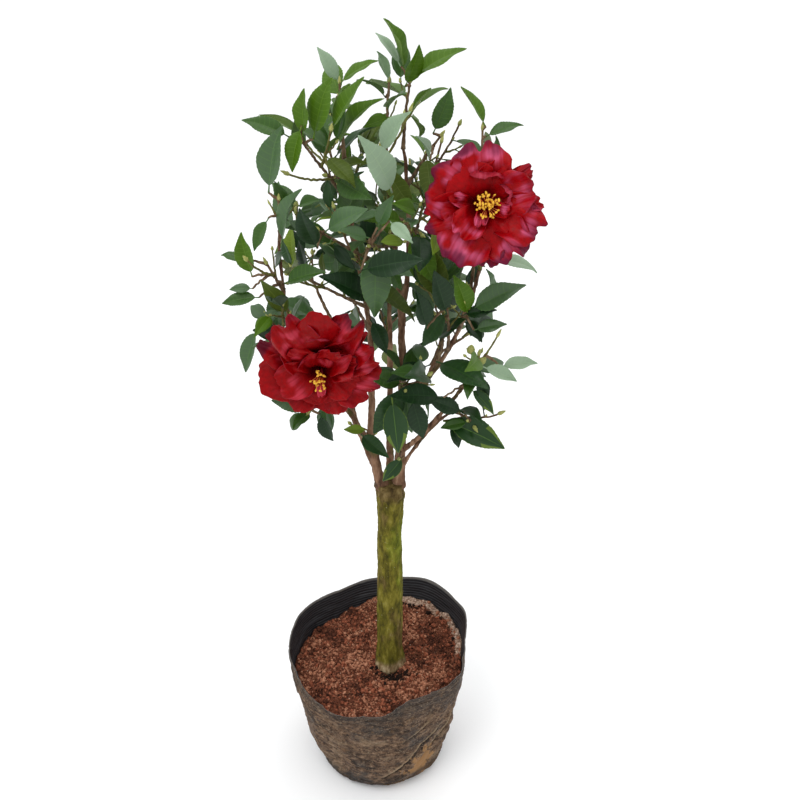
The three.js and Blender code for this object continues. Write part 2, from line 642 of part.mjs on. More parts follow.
function leafSolid(leaf) {
  const side = leaf.aim.clone().cross(leaf.face);
  const section = (share, halfWidth) => {
    const middle = leafPoint(leaf, share, 0);
    const keel = plus(middle, leaf.face, -LEAF.thickness);
    return [plus(middle, side, halfWidth), keel, plus(middle, side, -halfWidth)];
  };
  const rings = [section(0, LEAF.rootWidth / 2)];
  for (const share of leaf.size < LEAF.small ? LEAF.smallStations : LEAF.stations) {
    rings.push(section(share, leafPoint(leaf, share, 1).sub(leafPoint(leaf, share, 0)).dot(side)));
  }
  return skinSolid(rings, leafPoint(leaf, 1, 0));
}

// The blooms

function bloomFrame([bough, share, centre, facing, radius]) {
  const face = vector(facing).normalize();
  const across = face.clone().cross(UP).normalize();
  const upright = across.clone().cross(face);
  const foot = pointOn(limbs.get(bough).curve, share);
  return { foot, centre: vector(centre), face, across, upright, radius };
}

/** A point of a bloom: distance from its axis, direction round it, and height along the way it faces */
function bloomPoint({ centre, face, across, upright }, reach, angle, height) {
  const point = plus(centre, across, reach * Math.cos(angle));
  return point.addScaledVector(upright, reach * Math.sin(angle)).addScaledVector(face, height);
}

/** A ring of petals fused into one ruffled dish: lobed edge, cupped and then curled back */
function petalDish(bloom, { petals, reach, foot, lift, curl, turn }) {
  const count = petals * BLOOM.facetsPerPetal;
  const row = (share, offset) => Array.from({ length: count }, (_, i) => {
    const angle = turn + (i / count) * 2 * Math.PI;
    const lobe = Math.abs(Math.sin((petals * (angle - turn)) / 2));
    const distance = bloom.radius * reach * share * (1 - BLOOM.notch * share * (1 - lobe));
    const ruffle = BLOOM.ruffle * share * (lobe - 0.5);
    return bloomPoint(bloom, distance, angle, foot + lift * share - curl * share * share + ruffle + offset);
  });
  const half = BLOOM.petalThickness / 2;
  const front = BLOOM.rows.map((share) => row(share, half));
  const back = BLOOM.rows.map((share) => row(share, -half)).reverse();
  return skinSolid([...front, ...back]);
}

function bloomSolid(bloom) {
  const base = bloomPoint(bloom, 0, 0, -BLOOM.depth);
  const middle = bloom.foot.clone().lerp(base, 0.5).addScaledVector(bloom.face, -6);
  const stalk = { foot: bloom.foot, middle, tip: base };
  let solid = limbSolid(stalk, evenTaper([BLOOM.stalk, BLOOM.stalk], 6), 5);
  const calyx = { foot: plus(base, bloom.face, -5), middle: base, tip: bloomPoint(bloom, 0, 0, -4) };
  solid = solid.add(limbSolid(calyx, [[0, BLOOM.stalk], [0.4, BLOOM.calyx], [1, BLOOM.heart]], 6));
  const heart = { foot: bloomPoint(bloom, 0, 0, -8), middle: bloom.centre, tip: bloomPoint(bloom, 0, 0, 18) };
  solid = solid.add(limbSolid(heart, BLOOM.heartTaper, 6));
  for (const ring of PETAL_RINGS) solid = solid.add(petalDish(bloom, ring));
  return wholeBody(solid);
}

function takeBloom(name, bloom) {
  const ring = Array.from({ length: 10 }, (_, i) => (
    bloomPoint(bloom, bloom.radius * 0.68, (i / 10) * 2 * Math.PI, 0)));
  take(ring, bloom.radius * 0.38, name);
  take([bloom.centre], bloom.radius * 0.5, name);
  take([bloom.foot.clone().lerp(bloom.centre, 0.5)], 4, name);
}

/** Points along the line of sight that crosses the trunk's plane at a place */
function sightLine(x, height) {
  const [fromX, fromY, fromHeight] = SIGHT.from;
  const points = [];
  for (let y = SIGHT.front; y <= SIGHT.back; y += SIGHT.step) {
    const share = 1 - y / fromY;
    points.push(new THREE.Vector3(mix(fromX, x, share), y, mix(fromHeight, height, share)));
  }
  return points;
}

// The whole plant

const plant = new THREE.Group();

function addNode(name, solid, color, roughness) {
  const material = new THREE.MeshStandardMaterial({ color, roughness, metalness: 0 });
  const mesh = new THREE.Mesh(geometryOf(solid), material);
  mesh.name = name;
  plant.add(mesh);
}

addNode('grow_bag', growBag(BAG.wall), 0x2b2926, 0.7);
addNode('potting_soil', pottingSoil(), 0x5a3526, 1);

addLimb('trunk', trunkCurve, TRUNK.taper, TRUNK.sides);
addNode('trunk', limbs.get('trunk').solid, 0x6f6b32, 0.9);
for (const [name, row] of Object.entries(BOUGHS)) {
  addBough(name, row);
  addNode(name, limbs.get(name).solid, 0x7a5240, 0.85);
}
for (const [name, { curve, taper }] of limbs) {
  take(samplesOn(curve, 0), taper[0][1], name);
}

const blooms = Object.entries(BLOOMS).map(([name, row]) => [name, bloomFrame(row)]);
for (const [name, bloom] of blooms) {
  takeBloom(name, bloom);
  addNode(name, clearOfLimbs(bloomSolid(bloom)), 0xa3121c, 0.6);
}

for (const [x, height, radius] of Object.values(OPEN_PLACES)) {
  take(sightLine(x, height), radius, 'open place');
}
const masses = Object.entries(MASSES).map(([name, row]) => ({ name, row, shoots: growShoots(name, row) }));
for (const { shoots } of masses) {
  for (const { curve, owner } of shoots) {
    take(samplesOn(curve, WOOD_SAMPLES.shootFoot), WOOD_SAMPLES.shootRadius, owner);
  }
}
for (const mass of masses) {
  const rows = Object.values(LEADING_LEAVES).filter(([massName]) => massName === mass.name);
  mass.leading = rows.map((row) => growLeading(mass.shoots, row));
  for (const { leaf, twig, owner } of mass.leading) {
    take(leafSamples(leaf), LEAF.clear, 'leaf');
    if (twig) take(samplesOn(twig, WOOD_SAMPLES.shootFoot), WOOD_SAMPLES.shootRadius, owner);
  }
}
for (const { name, row, shoots, leading } of masses) {
  const [, , , , leafCount, twigs, seed] = row;
  const onStem = twigs === 0 ? leafCount : Math.max(3, Math.round(leafCount * 0.5));
  const onTwig = twigs === 0 ? 0 : Math.max(2, Math.round((leafCount * 0.5) / twigs) + 1);
  let solid = null;
  shoots.forEach((shoot, i) => {
    const steps = Math.ceil(spanOf(shoot.curve) / SHOOT.facetLength);
    const wood = limbSolid(shoot.curve, evenTaper(shoot.radii, steps), SHOOT.sides);
    solid = solid ? solid.add(wood) : wood;
    for (const leaf of growLeaves(shoot, i === 0 ? onStem : onTwig, new Draws(seed * 31 + i * 7))) {
      solid = solid.add(leafSolid(leaf));
    }
  });
  for (const { leaf, twig } of leading) {
    if (twig) solid = solid.add(limbSolid(twig, evenTaper(SHOOT.twig, 1), SHOOT.sides));
    solid = solid.add(leafSolid(leaf));
  }
  addNode(`foliage_${name}`, clearOfLimbs(solid), 0x2f5a2c, 0.5);
}

export default plant;
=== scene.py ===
# Looks of the potted camellia: bark, leaves, blooms, compost and bag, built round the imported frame.
# Tables and rules are in millimetres, as in the part's source, and meshes are made in metres.

import math

import bpy
import numpy as np
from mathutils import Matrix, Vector


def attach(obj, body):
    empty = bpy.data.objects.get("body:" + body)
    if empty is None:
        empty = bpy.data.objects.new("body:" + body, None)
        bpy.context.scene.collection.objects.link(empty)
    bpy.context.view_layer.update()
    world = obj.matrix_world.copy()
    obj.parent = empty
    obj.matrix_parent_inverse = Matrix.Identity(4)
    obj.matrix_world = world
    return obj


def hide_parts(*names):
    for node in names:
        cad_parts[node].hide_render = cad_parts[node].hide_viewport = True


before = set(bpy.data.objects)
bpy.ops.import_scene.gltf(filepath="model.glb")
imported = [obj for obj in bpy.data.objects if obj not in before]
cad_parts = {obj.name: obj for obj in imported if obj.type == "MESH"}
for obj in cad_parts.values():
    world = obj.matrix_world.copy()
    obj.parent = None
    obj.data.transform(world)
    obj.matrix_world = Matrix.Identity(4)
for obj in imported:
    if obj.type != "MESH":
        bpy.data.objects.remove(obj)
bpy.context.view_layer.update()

MM = 0.001
TAU = 2 * math.pi
UP = np.array([0.0, 0.0, 1.0])

# The source's tables: bag, soil, trunk, boughs, masses, leaves and blooms

BAG = {
    "rim_radius": 110,
    "rim_height": 165,
    "crease_height": 100,
    "section": [(70, 0), (83, 8), (88, 20), (94, 50), (102, 100)],
}
RIM_RADII = [107, 122, 127, 119, 110, 118, 115, 108, 103, 98, 96, 108]
RIM_HEIGHTS = [165, 173, 177, 173, 172, 168, 157, 142, 139, 142, 158, 160]
SOIL = {"top": 130, "edge": 127, "bank": 19, "bank_direction": math.radians(60), "flat": 26}
TRUNK = {
    "foot": (12, 6),
    "head": (14, -4),
    "top": 411,
    "taper": [(0, 18.4), (0.03, 16.9), (0.09, 15.6), (0.35, 14.7), (0.74, 14.2), (0.89, 15.2),
              (0.955, 17.2), (0.985, 16.2), (1, 13)],
}
# bough: what it leaves, where (a point, or its share along a parent), middle, tip, radii at foot and tip
BOUGHS = {
    "bough_left": ("trunk", (5, -7, 405), (0, -10, 440), (-8, -18, 476), 7.0, 5.2),
    "bough_centre": ("trunk", (23, -4, 405), (31, -2, 515), (25, -12, 640), 6.6, 3.8),
    "bough_back": ("trunk", (13, 5, 404), (16, 74, 500), (12, 92, 612), 4.6, 2.6),
    "bough_back_left": ("bough_left", 0.25, (-32, 34, 470), (-50, 72, 572), 4.4, 2.6),
    "bough_back_right": ("bough_centre", 0.3, (58, 50, 500), (78, 78, 576), 3.8, 2.6),
    "bough_left_inner": ("bough_left", 0.97, (0, -4, 550), (-10, 5, 627), 4.2, 3.2),
    "bough_left_bloom": ("bough_left", 0.9, (-34, -34, 530), (-62, -66, 588), 3.4, 2.2),
    "bough_upper_left": ("bough_left_inner", 0.99, (-22, 0, 700), (-27, -8, 776), 2.9, 1.9),
    "bough_left_up": ("bough_left_bloom", 0.6, (-92, -62, 610), (-86, -50, 712), 2.4, 1.7),
    "bough_leader": ("bough_centre", 0.99, (17, -22, 710), (12, -20, 778), 3.2, 2.2),
    "bough_top": ("bough_centre", 0.86, (40, 14, 690), (28, 10, 780), 3.0, 1.9),
    "bough_right_bloom": ("bough_centre", 0.48, (82, -10, 562), (102, -30, 674), 3.4, 2.2),
    "bough_right_low": ("bough_centre", 0.2, (52, -26, 484), (90, -52, 560), 3.2, 2.2),
    "bough_right_thin": ("bough_centre", 0.08, (46, -8, 476), (80, -22, 512), 2.3, 1.6),
}
# mass: its bough, share along it, tip of its stem, rise of that tip, leaves, side twigs, seed
MASSES = {
    "top": ("bough_top", 1, (34, 5, 842), 0.1, 2, 0, 1),
    "top_left": ("bough_upper_left", 1, (-29, -12, 845), 0.1, 3, 0, 2),
    "top_middle": ("bough_leader", 1, (15, 11, 841), 0.0, 4, 0, 3),
    "upper_left": ("bough_upper_left", 0.7, (-62, -46, 802), 0.2, 4, 1, 4),
    "above_right_bloom": ("bough_right_bloom", 0.8, (100, -18, 806), 0.2, 2, 0, 5),
    "upper_right": ("bough_top", 0.8, (62, -20, 800), 0.2, 5, 0, 6),
    "upper_front": ("bough_leader", 0.85, (8, -52, 798), 0.2, 6, 1, 7),
    "upper_inner": ("bough_upper_left", 0.85, (-42, -36, 768), 0.2, 6, 1, 8),
    "left": ("bough_left_up", 1, (-84, -58, 752), 0.1, 4, 0, 39),
    "left_front": ("bough_leader", 0.2, (-48, -80, 732), 0.3, 6, 1, 10),
    "far_left": ("bough_left_up", 0.75, (-98, -62, 692), 0.3, 4, 1, 41),
    "left_low": ("bough_left_up", 0.35, (-98, -62, 634), 0.3, 6, 1, 12),
    "middle_front": ("bough_leader", 0.4, (-2, -88, 720), 0.3, 5, 1, 13),
    "middle_right": ("bough_leader", 0.65, (44, -64, 722), 0.3, 7, 1, 14),
    "middle_left": ("bough_left_inner", 0.8, (-30, -64, 682), 0.3, 6, 1, 15),
    "right_inner": ("bough_right_bloom", 0.5, (66, -72, 668), 0.3, 6, 1, 16),
    "right": ("bough_right_bloom", 0.66, (86, -60, 650), 0.2, 3, 0, 47),
    "right_low": ("bough_right_low", 1, (100, -78, 606), 0.2, 4, 1, 18),
    "right_skirt": ("bough_right_thin", 1, (100, -56, 514), -0.1, 4, 1, 19),
    "front_low": ("bough_centre", 0.58, (30, -74, 566), 0.1, 7, 1, 20),
    "foot": ("bough_centre", 0.2, (24, -36, 462), 0.2, 1, 0, 21),
    "left_foot": ("bough_left", 0.75, (-26, -42, 508), 0.0, 3, 0, 22),
    "left_skirt": ("bough_left_bloom", 0.7, (-64, -80, 546), -0.3, 3, 0, 23),
    "right_middle": ("bough_right_bloom", 0.36, (70, -28, 628), 0.2, 8, 1, 24),
    "left_middle": ("bough_left_inner", 0.95, (-80, 16, 652), 0.3, 10, 1, 25),
    "back_upper_left": ("bough_upper_left", 0.3, (-46, 62, 770), 0.3, 11, 2, 26),
    "back_upper_right": ("bough_top", 0.4, (66, 62, 772), 0.3, 11, 2, 27),
    "back_left": ("bough_back_left", 1, (-88, 74, 672), 0.3, 11, 2, 28),
    "back_middle": ("bough_back", 1, (9, 104, 700), 0.3, 11, 2, 29),
    "back_right": ("bough_back_right", 1, (98, 78, 668), 0.3, 11, 2, 30),
    "back_low_left": ("bough_back_left", 0.55, (-88, 84, 552), 0.1, 10, 2, 31),
    "back_low_right": ("bough_back_right", 0.7, (102, 84, 550), 0.1, 10, 2, 32),
    "back_low": ("bough_back", 0.6, (8, 126, 548), 0.1, 10, 2, 33),
}
# leading leaf, one that shapes the outline: its mass, root, tip, droop and tone; the tone pale is a painted
# sheen, and blue partly one
LEADING_LEAVES = {
    "apex": ("top", (30, 8, 850), (14, 4, 899), 0.1, "fresh"),
    "apex_front": ("top", (30, 0, 840), (43, -12, 878), 0.18, "fresh"),
    "apex_right": ("top", (35, 4, 842), (84, -4, 875), 0.34, "fresh"),
    "apex_left": ("top", (26, 6, 856), (5, 14, 885), 0.1, "pale"),
    "under_apex": ("top", (34, 4, 814), (53, -4, 840), 0.1, "fresh"),
    "peak_left": ("top_left", (-30, -12, 847), (-48, -14, 876), 0.22, "pale"),
    "peak_right": ("top_left", (-27, -12, 846), (5, -20, 866), 0.26, "fresh"),
    "peak_low": ("top_left", (-32, -14, 833), (-19, -26, 847), 0.12, "fresh"),
    "crown_left": ("top_left", (-33, -14, 786), (5, -36, 838), 0.3, "fresh"),
    "middle_peak": ("top_middle", (15, 10, 841), (5, 4, 871), 0.12, "pale"),
    "middle_arch": ("top_middle", (12, 8, 828), (-13, -4, 848), 0.38, "mid"),
    "fork_tall": ("upper_left", (-52, -46, 804), (-37, -46, 857), 0.08, "fresh"),
    "fork_short": ("upper_left", (-61, -48, 806), (-58, -50, 849), 0.08, "fresh"),
    "fork_hanging": ("upper_left", (-61, -52, 817), (-72, -60, 779), 0.2, "fresh"),
    "fork_outer": ("upper_left", (-73, -46, 806), (-113, -44, 822), 0.4, "mid"),
    "far_upper": ("left", (-93, -58, 759), (-82, -56, 818), 0.12, "blue"),
    "left_broad": ("left", (-84, -60, 712), (-65, -76, 766), 0.14, "blue"),
    "left_narrow": ("left", (-94, -62, 737), (-109, -66, 707), 0.16, "mid"),
    "centre_pale": ("upper_front", (7, -56, 796), (31, -74, 834), 0.14, "pale"),
    "centre_hanging": ("upper_front", (18, -60, 760), (-9, -92, 815), 0.3, "pale"),
    "oval": ("upper_right", (55, -20, 802), (72, -24, 842), 0.1, "mid"),
    "right_pale": ("upper_right", (52, -30, 781), (42, -46, 807), 0.14, "pale"),
    "right_peak": ("above_right_bloom", (103, -18, 808), (78, -16, 842), 0.16, "fresh"),
    "right_low_peak": ("above_right_bloom", (103, -18, 799), (136, -20, 810), 0.3, "mid"),
    "under_bloom": ("above_right_bloom", (115, -34, 688), (157, -36, 674), 0.26, "pale"),
    "dark_left": ("left_front", (-49, -84, 716), (-64, -100, 757), 0.14, "deep"),
    "long_left": ("left_front", (-42, -82, 731), (-3, -96, 759), 0.22, "blue"),
    "grey_middle": ("middle_front", (-2, -92, 729), (-27, -106, 740), 0.14, "blue"),
    "upright_middle": ("middle_front", (5, -90, 738), (18, -96, 768), 0.1, "blue"),
    "triangle": ("middle_front", (16, -96, 746), (34, -116, 734), 0.12, "pale"),
    "broad_middle": ("middle_front", (-10, -94, 699), (45, -112, 720), 0.16, "deep"),
    "long_dark": ("middle_left", (1, -66, 658), (-48, -84, 687), 0.18, "deep"),
    "by_bloom": ("middle_left", (-3, -70, 640), (14, -78, 609), 0.18, "deep"),
    "bright_left": ("far_left", (-83, -64, 674), (-43, -78, 692), 0.26, "mid"),
    "oval_left": ("far_left", (-113, -62, 680), (-120, -62, 722), 0.1, "fresh"),
    "low_left": ("far_left", (-107, -64, 660), (-143, -64, 655), 0.16, "mid"),
    "small_left": ("far_left", (-113, -62, 668), (-135, -62, 668), 0.24, "blue"),
    "thin_left": ("far_left", (-116, -56, 694), (-142, -52, 699), 0.1, "mid"),
    "bloom_left_upper": ("left_low", (-88, -60, 646), (-112, -66, 626), 0.22, "blue"),
    "bloom_left_lower": ("left_low", (-111, -64, 628), (-127, -68, 583), 0.14, "blue"),
    "below_bloom": ("left_skirt", (-54, -82, 544), (-42, -84, 512), 0.16, "deep"),
    "yellow_foot": ("left_foot", (-9, -46, 503), (-33, -50, 506), 0.16, "young"),
    "inner_tall": ("right_inner", (69, -74, 647), (54, -86, 695), 0.12, "deep"),
    "inner_small": ("right_inner", (50, -78, 634), (41, -88, 677), 0.12, "deep"),
    "bright_fold": ("right", (90, -62, 640), (77, -68, 684), 0.14, "fresh"),
    "right_arch": ("right", (92, -62, 646), (141, -66, 672), 0.3, "blue"),
    "right_flat": ("right", (85, -62, 641), (115, -70, 651), 0.2, "deep"),
    "right_lower": ("right", (96, -60, 624), (126, -64, 634), 0.22, "blue"),
    "inner_left": ("right_middle", (55, -42, 577), (14, -66, 570), 0.22, "deep"),
    "inner_right": ("right_middle", (61, -50, 585), (106, -102, 583), 0.2, "dark"),
    "grey_right": ("right_low", (104, -80, 595), (137, -86, 581), 0.16, "pale"),
    "tip_right": ("right_low", (121, -76, 593), (157, -76, 598), 0.14, "pale"),
    "folded_right": ("right_low", (93, -80, 571), (117, -88, 547), 0.28, "edged"),
    "dark_right": ("right_low", (99, -74, 584), (110, -78, 551), 0.14, "deep"),
    "dark_across": ("right_low", (68, -66, 553), (14, -84, 568), 0.22, "deep"),
    "skirt_right": ("right_skirt", (69, -52, 518), (134, -58, 492), 0.2, "edged"),
    "skirt_small": ("right_skirt", (76, -56, 518), (87, -62, 492), 0.14, "deep"),
    "skirt_upper": ("right_skirt", (89, -58, 532), (52, -70, 553), 0.18, "deep"),
    "hanging_low": ("front_low", (17, -80, 562), (23, -92, 503), 0.16, "edged"),
    "hanging_dark": ("front_low", (37, -76, 559), (46, -80, 513), 0.14, "deep"),
    "trunk_leaf": ("foot", (29, -36, 464), (7, -44, 437), 0.14, "edged"),
}
# open place, where the sky shows through the crown: x and height of its line of sight above the trunk's
# own plane, and the radius that leaves keep clear
OPEN_PLACES = {
    "by_peak": (-59, 863, 11),
    "by_apex": (56, 854, 14),
    "over_left": (-103, 797, 7),
    "left_slit": (-84, 789, 6),
    "left_slit_low": (-84, 770, 8),
    "left_notch": (-78, 822, 5),
    "upper_left": (-57, 770, 9),
    "upper_left_low": (-70, 749, 9),
    "left_edge": (-115, 743, 8),
    "far_left": (-130, 721, 10),
    "far_left_inner": (-115, 711, 8),
    "left_inner": (-112, 670, 8),
    "left_inner_low": (-103, 655, 7),
    "above_bloom": (-42, 629, 12),
    "above_bloom_left": (-60, 638, 8),
    "small_left": (-71, 644, 6),
    "by_leader": (-1, 757, 7),
    "right_of_leader": (36, 782, 7),
    "over_bloom": (62, 789, 10),
    "over_bloom_right": (79, 806, 10),
    "over_bloom_top": (89, 820, 6),
    "beside_peak": (109, 833, 8),
    "under_bloom": (101, 640, 6),
    "right_upper": (134, 615, 9),
    "right_tip": (150, 607, 9),
    "right_middle": (129, 584, 12),
    "right_low": (144, 520, 14),
    "right_lower": (141, 495, 10),
    "skirt_right": (118, 434, 16),
    "skirt_middle": (75, 453, 10),
    "skirt_left": (-83, 455, 15),
    "left_foot": (-34, 455, 11),
    "by_centre": (35, 590, 8),
    "right_inner": (82, 579, 10),
    "bloom_side": (-8, 514, 7),
    "beyond_left": (-164, 655, 14),
    "beyond_left_upper": (-145, 666, 6),
    "bloom_right_top": (138, 788, 9),
    "below_far_left": (-140, 616, 9),
    "beyond_left_lower": (-156, 616, 14),
}
SIGHT = {"from": (25, -930, 1038.9), "front": -160, "back": 190, "step": 9}
SHOOT = {
    "stem": (1.8, 1.1),
    "twig": (1.3, 0.9),
    "twig_length": 42,
    "twig_angle": math.radians(43),
    "twig_lift": 0.25,
    "turn": math.radians(137.5),
    "twig_spread": (0.8, 1.2),
    "bare_foot": 0.25,
    "reach": 2.5,
}
NEAREST_STEPS = 20
LEAF = {
    "length": 61,
    "width": 0.43,
    "spacing": 13,
    "fold": 0.25,
    "stalk": 0.12,
    "opening": (20, 65),
    "opening_spread": (-10, 12),
    "size_spread": (0.66, 1.1),
    "sag": (0, 0.8),
    "droop": (0.06, 0.32),
    "tilt": (-0.6, 0.6),
    "tries": 8,
    "try_turn": math.radians(53),
    "try_open": math.radians(5),
    "clear": 4.1,
}
WOOD_SAMPLES = {"spacing": 6, "shoot_foot": 0.15, "shoot_radius": 1.6}
LEAF_SAMPLES = (0.15, 0.23, 0.31, 0.4, 0.49, 0.58, 0.67, 0.76, 0.85, 0.94, 1)
ACROSS_SAMPLES = (-0.9, -0.45, 0, 0.45, 0.9)
LIGHT = np.array([0, -0.5, 0.8])
REFERENCE = np.array([0.31, -0.9, 0.3])
# bloom: its bough, share, centre, the way it faces, radius
BLOOMS = {
    "bloom_right": ("bough_right_bloom", 1, (98, -85, 757), (-0.06, -0.93, 0.35), 56),
    "bloom_left": ("bough_left_bloom", 1, (-48, -115, 616), (0, -0.98, 0.14), 58),
}
BLOOM_DEPTH = 22
# what a bloom keeps clear, as shares of its radius: a ring, the radius round it, and that round the middle
BLOOM_ROOM = {"ring": 0.68, "round_ring": 0.38, "round_middle": 0.5, "points": 10, "stalk": 4}
TRUNK_FOOT_GAP = 0.3

# Camera, at the place that the lines of sight start from and looking down along +Y

LENS_MM = 45
SENSOR_MM = 36
LOOKS_DOWN = math.radians(29.5)


def in_scene(thing):
    """Links an object to the scene and returns it"""
    bpy.context.scene.collection.objects.link(thing)
    return thing


camera_data = bpy.data.cameras.new("camera")
camera_data.lens = LENS_MM
camera_data.sensor_width = SENSOR_MM
camera = in_scene(bpy.data.objects.new("camera", camera_data))
camera.location = [place * MM for place in SIGHT["from"]]
camera.rotation_euler = (math.pi / 2 - LOOKS_DOWN, 0, 0)
bpy.context.scene.camera = camera

# Numbers and vectors


def mix(a, b, share):
    return a + (b - a) * share


def smooth(low, high, value):
    share = np.clip((value - low) / (high - low), 0, 1)
    return share * share * (3 - 2 * share)


def vector(values):
    return np.array(values, float)


def unit(v):
    return v / np.linalg.norm(v)


def around(axis, angle):
    """A unit vector square to an axis, at an angle round it"""
    side = unit(np.cross(axis, REFERENCE))
    return side * math.cos(angle) + np.cross(axis, side) * math.sin(angle)


def circle(count):
    """Even angles round a circle"""
    return np.arange(count) / count * TAU


def waves(points, size, seed):
    """Smooth seeded noise of about unit spread, with lumps of the given size"""
    count = 14
    rng = np.random.default_rng(seed)
    directions = rng.normal(size=(count, points.shape[-1]))
    directions /= np.linalg.norm(directions, axis=1)[:, None]
    rates = TAU / size * rng.uniform(0.55, 1.5, count)
    phases = rng.uniform(0, TAU, count)
    return np.sin(points @ (directions * rates[:, None]).T + phases).sum(-1) / math.sqrt(count / 2)


class Curve:
    """A curve of three points: foot, middle and tip"""

    def __init__(self, foot, middle, tip):
        self.foot, self.middle, self.tip = vector(foot), vector(middle), vector(tip)
        self.span = float(np.linalg.norm(self.tip - self.foot))

    def at(self, t):
        t = np.asarray(t, float)[..., None]
        return self.foot * (1 - t) ** 2 + self.middle * 2 * t * (1 - t) + self.tip * t * t

    def heading(self, t):
        return unit((self.middle - self.foot) * (1 - t) + (self.tip - self.middle) * t)

    def samples(self, start):
        steps = max(4, math.ceil(self.span / WOOD_SAMPLES["spacing"]))
        return self.at(mix(start, 1, np.arange(steps + 1) / steps))


# Meshes


class Heap:
    """Many small meshes collected into one piece"""

    def __init__(self):
        self.points, self.corners, self.sizes, self.looks = [], [], [], []
        self.values = {}
        self.count = 0

    def add(self, points, faces, looks=0, **values):
        """faces is a list of arrays, one for each number of corners; looks are their material numbers"""
        points = points.reshape(-1, 3)
        several = isinstance(looks, list)
        for i, part in enumerate(faces):
            if len(part) == 0:
                continue
            self.corners.append((part + self.count).ravel())
            self.sizes.append(np.full(len(part), part.shape[1]))
            look = looks[i] if several else looks
            self.looks.append(np.broadcast_to(look, len(part)))
        self.points.append(points)
        for name, value in values.items():
            self.values.setdefault(name, []).append(np.broadcast_to(value, len(points)))
        self.count += len(points)

    def make(self, name, materials, replaces, slot):
        """Makes the piece, which rides on the one body and stands for the nodes that it replaces"""
        mesh = bpy.data.meshes.new(name)
        points = np.concatenate(self.points) * MM
        corners = np.concatenate(self.corners)
        sizes = np.concatenate(self.sizes)
        mesh.vertices.add(len(points))
        mesh.vertices.foreach_set("co", points.astype(np.float32).ravel())
        mesh.loops.add(len(corners))
        mesh.loops.foreach_set("vertex_index", corners.astype(np.int32))
        mesh.polygons.add(len(sizes))
        starts = np.concatenate([[0], np.cumsum(sizes)[:-1]])
        mesh.polygons.foreach_set("loop_start", starts.astype(np.int32))
        mesh.polygons.foreach_set("material_index", np.concatenate(self.looks).astype(np.int32))
        mesh.polygons.foreach_set("use_smooth", np.ones(len(sizes), bool))
        for value_name, parts in self.values.items():
            attribute = mesh.attributes.new(value_name, "FLOAT", "POINT")
            attribute.data.foreach_set("value", np.concatenate(parts).astype(np.float32))
        mesh.update(calc_edges=True)
        for made in materials:
            mesh.materials.append(made)
        piece = in_scene(bpy.data.objects.new(name, mesh))
        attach(piece, "root")
        if replaces:
            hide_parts(*replaces)


def grid_faces(rows, columns, closed=False):
    """Quads over rows of points; closed joins the last column to the first"""
    across = columns if closed else columns - 1
    r, c = np.meshgrid(np.arange(rows - 1), np.arange(across), indexing="ij")
    a = r * columns + c
    b = r * columns + (c + 1) % columns
    return np.stack([a, b, b + columns, a + columns], -1).reshape(-1, 4)


def fan_faces(start, count, hub, flip=False):
    """Triangles from a ring of points to one point, the hub"""
    i = np.arange(count)
    a, b = start + i, start + (i + 1) % count
    hubs = np.full(count, hub)
    return np.stack([hubs, b, a] if flip else [hubs, a, b], -1)


def frames_along(centres):
    """Two directions square to a line of centres, at each of them and turned as little as the line allows"""
    headings = np.gradient(centres, axis=0)
    headings /= np.linalg.norm(headings, axis=1)[:, None]
    side = around(headings[0], 0)
    sides = []
    for heading in headings:
        side = unit(side - heading * side.dot(heading))
        sides.append(side)
    sides = np.array(sides)
    return sides, np.cross(headings, sides)


def rings_round(centres, radii, count):
    """Rings of points round a line of centres. radii has one value a ring, or one a point"""
    sides, others = frames_along(centres)
    angles = circle(count)
    radii = np.broadcast_to(np.asarray(radii, float).reshape(len(centres), -1), (len(centres), count))
    out = sides[:, None] * np.cos(angles)[None, :, None] + others[:, None] * np.sin(angles)[None, :, None]
    return centres[:, None] + out * radii[..., None]


def tube(centres, radii, count):
    """A closed tube: its points and its faces"""
    rings = len(centres)
    hub = rings * count
    points = np.concatenate([rings_round(centres, radii, count).reshape(-1, 3), centres[:1], centres[-1:]])
    caps = np.concatenate([fan_faces(0, count, hub, flip=True), fan_faces(hub - count, count, hub + 1)])
    return points, [grid_faces(rings, count, closed=True), caps]


def thread(curve, radii, points, sides):
    """A thin tube along a curve, from one radius to another"""
    return tube(curve.at(np.linspace(0, 1, points)), np.linspace(*radii, points), sides)


def sheet(upper, lower):
    """A thin sheet between two grids of points: its points, and the faces of its front, back and edge"""
    rows, columns = upper.shape[:2]
    front = grid_faces(rows, columns)
    total = rows * columns
    top_row, left = np.arange(columns), np.arange(rows) * columns
    loop = np.concatenate([
        top_row, left[1:] + columns - 1, top_row[::-1][1:] + (rows - 1) * columns, left[::-1][1:],
    ])
    a, b = loop[:-1], loop[1:]
    edge = np.stack([b, a, a + total, b + total], -1)
    return np.concatenate([upper.reshape(-1, 3), lower.reshape(-1, 3)]), [front, front[:, ::-1] + total, edge]


# Materials


def srgb(red, green, blue):
    """Scene colour of a display colour in 0 to 255"""
    values = np.array([red, green, blue]) / 255
    linear = np.where(values <= 0.04045, values / 12.92, ((values + 0.055) / 1.055) ** 2.4)
    return (*linear.tolist(), 1.0)


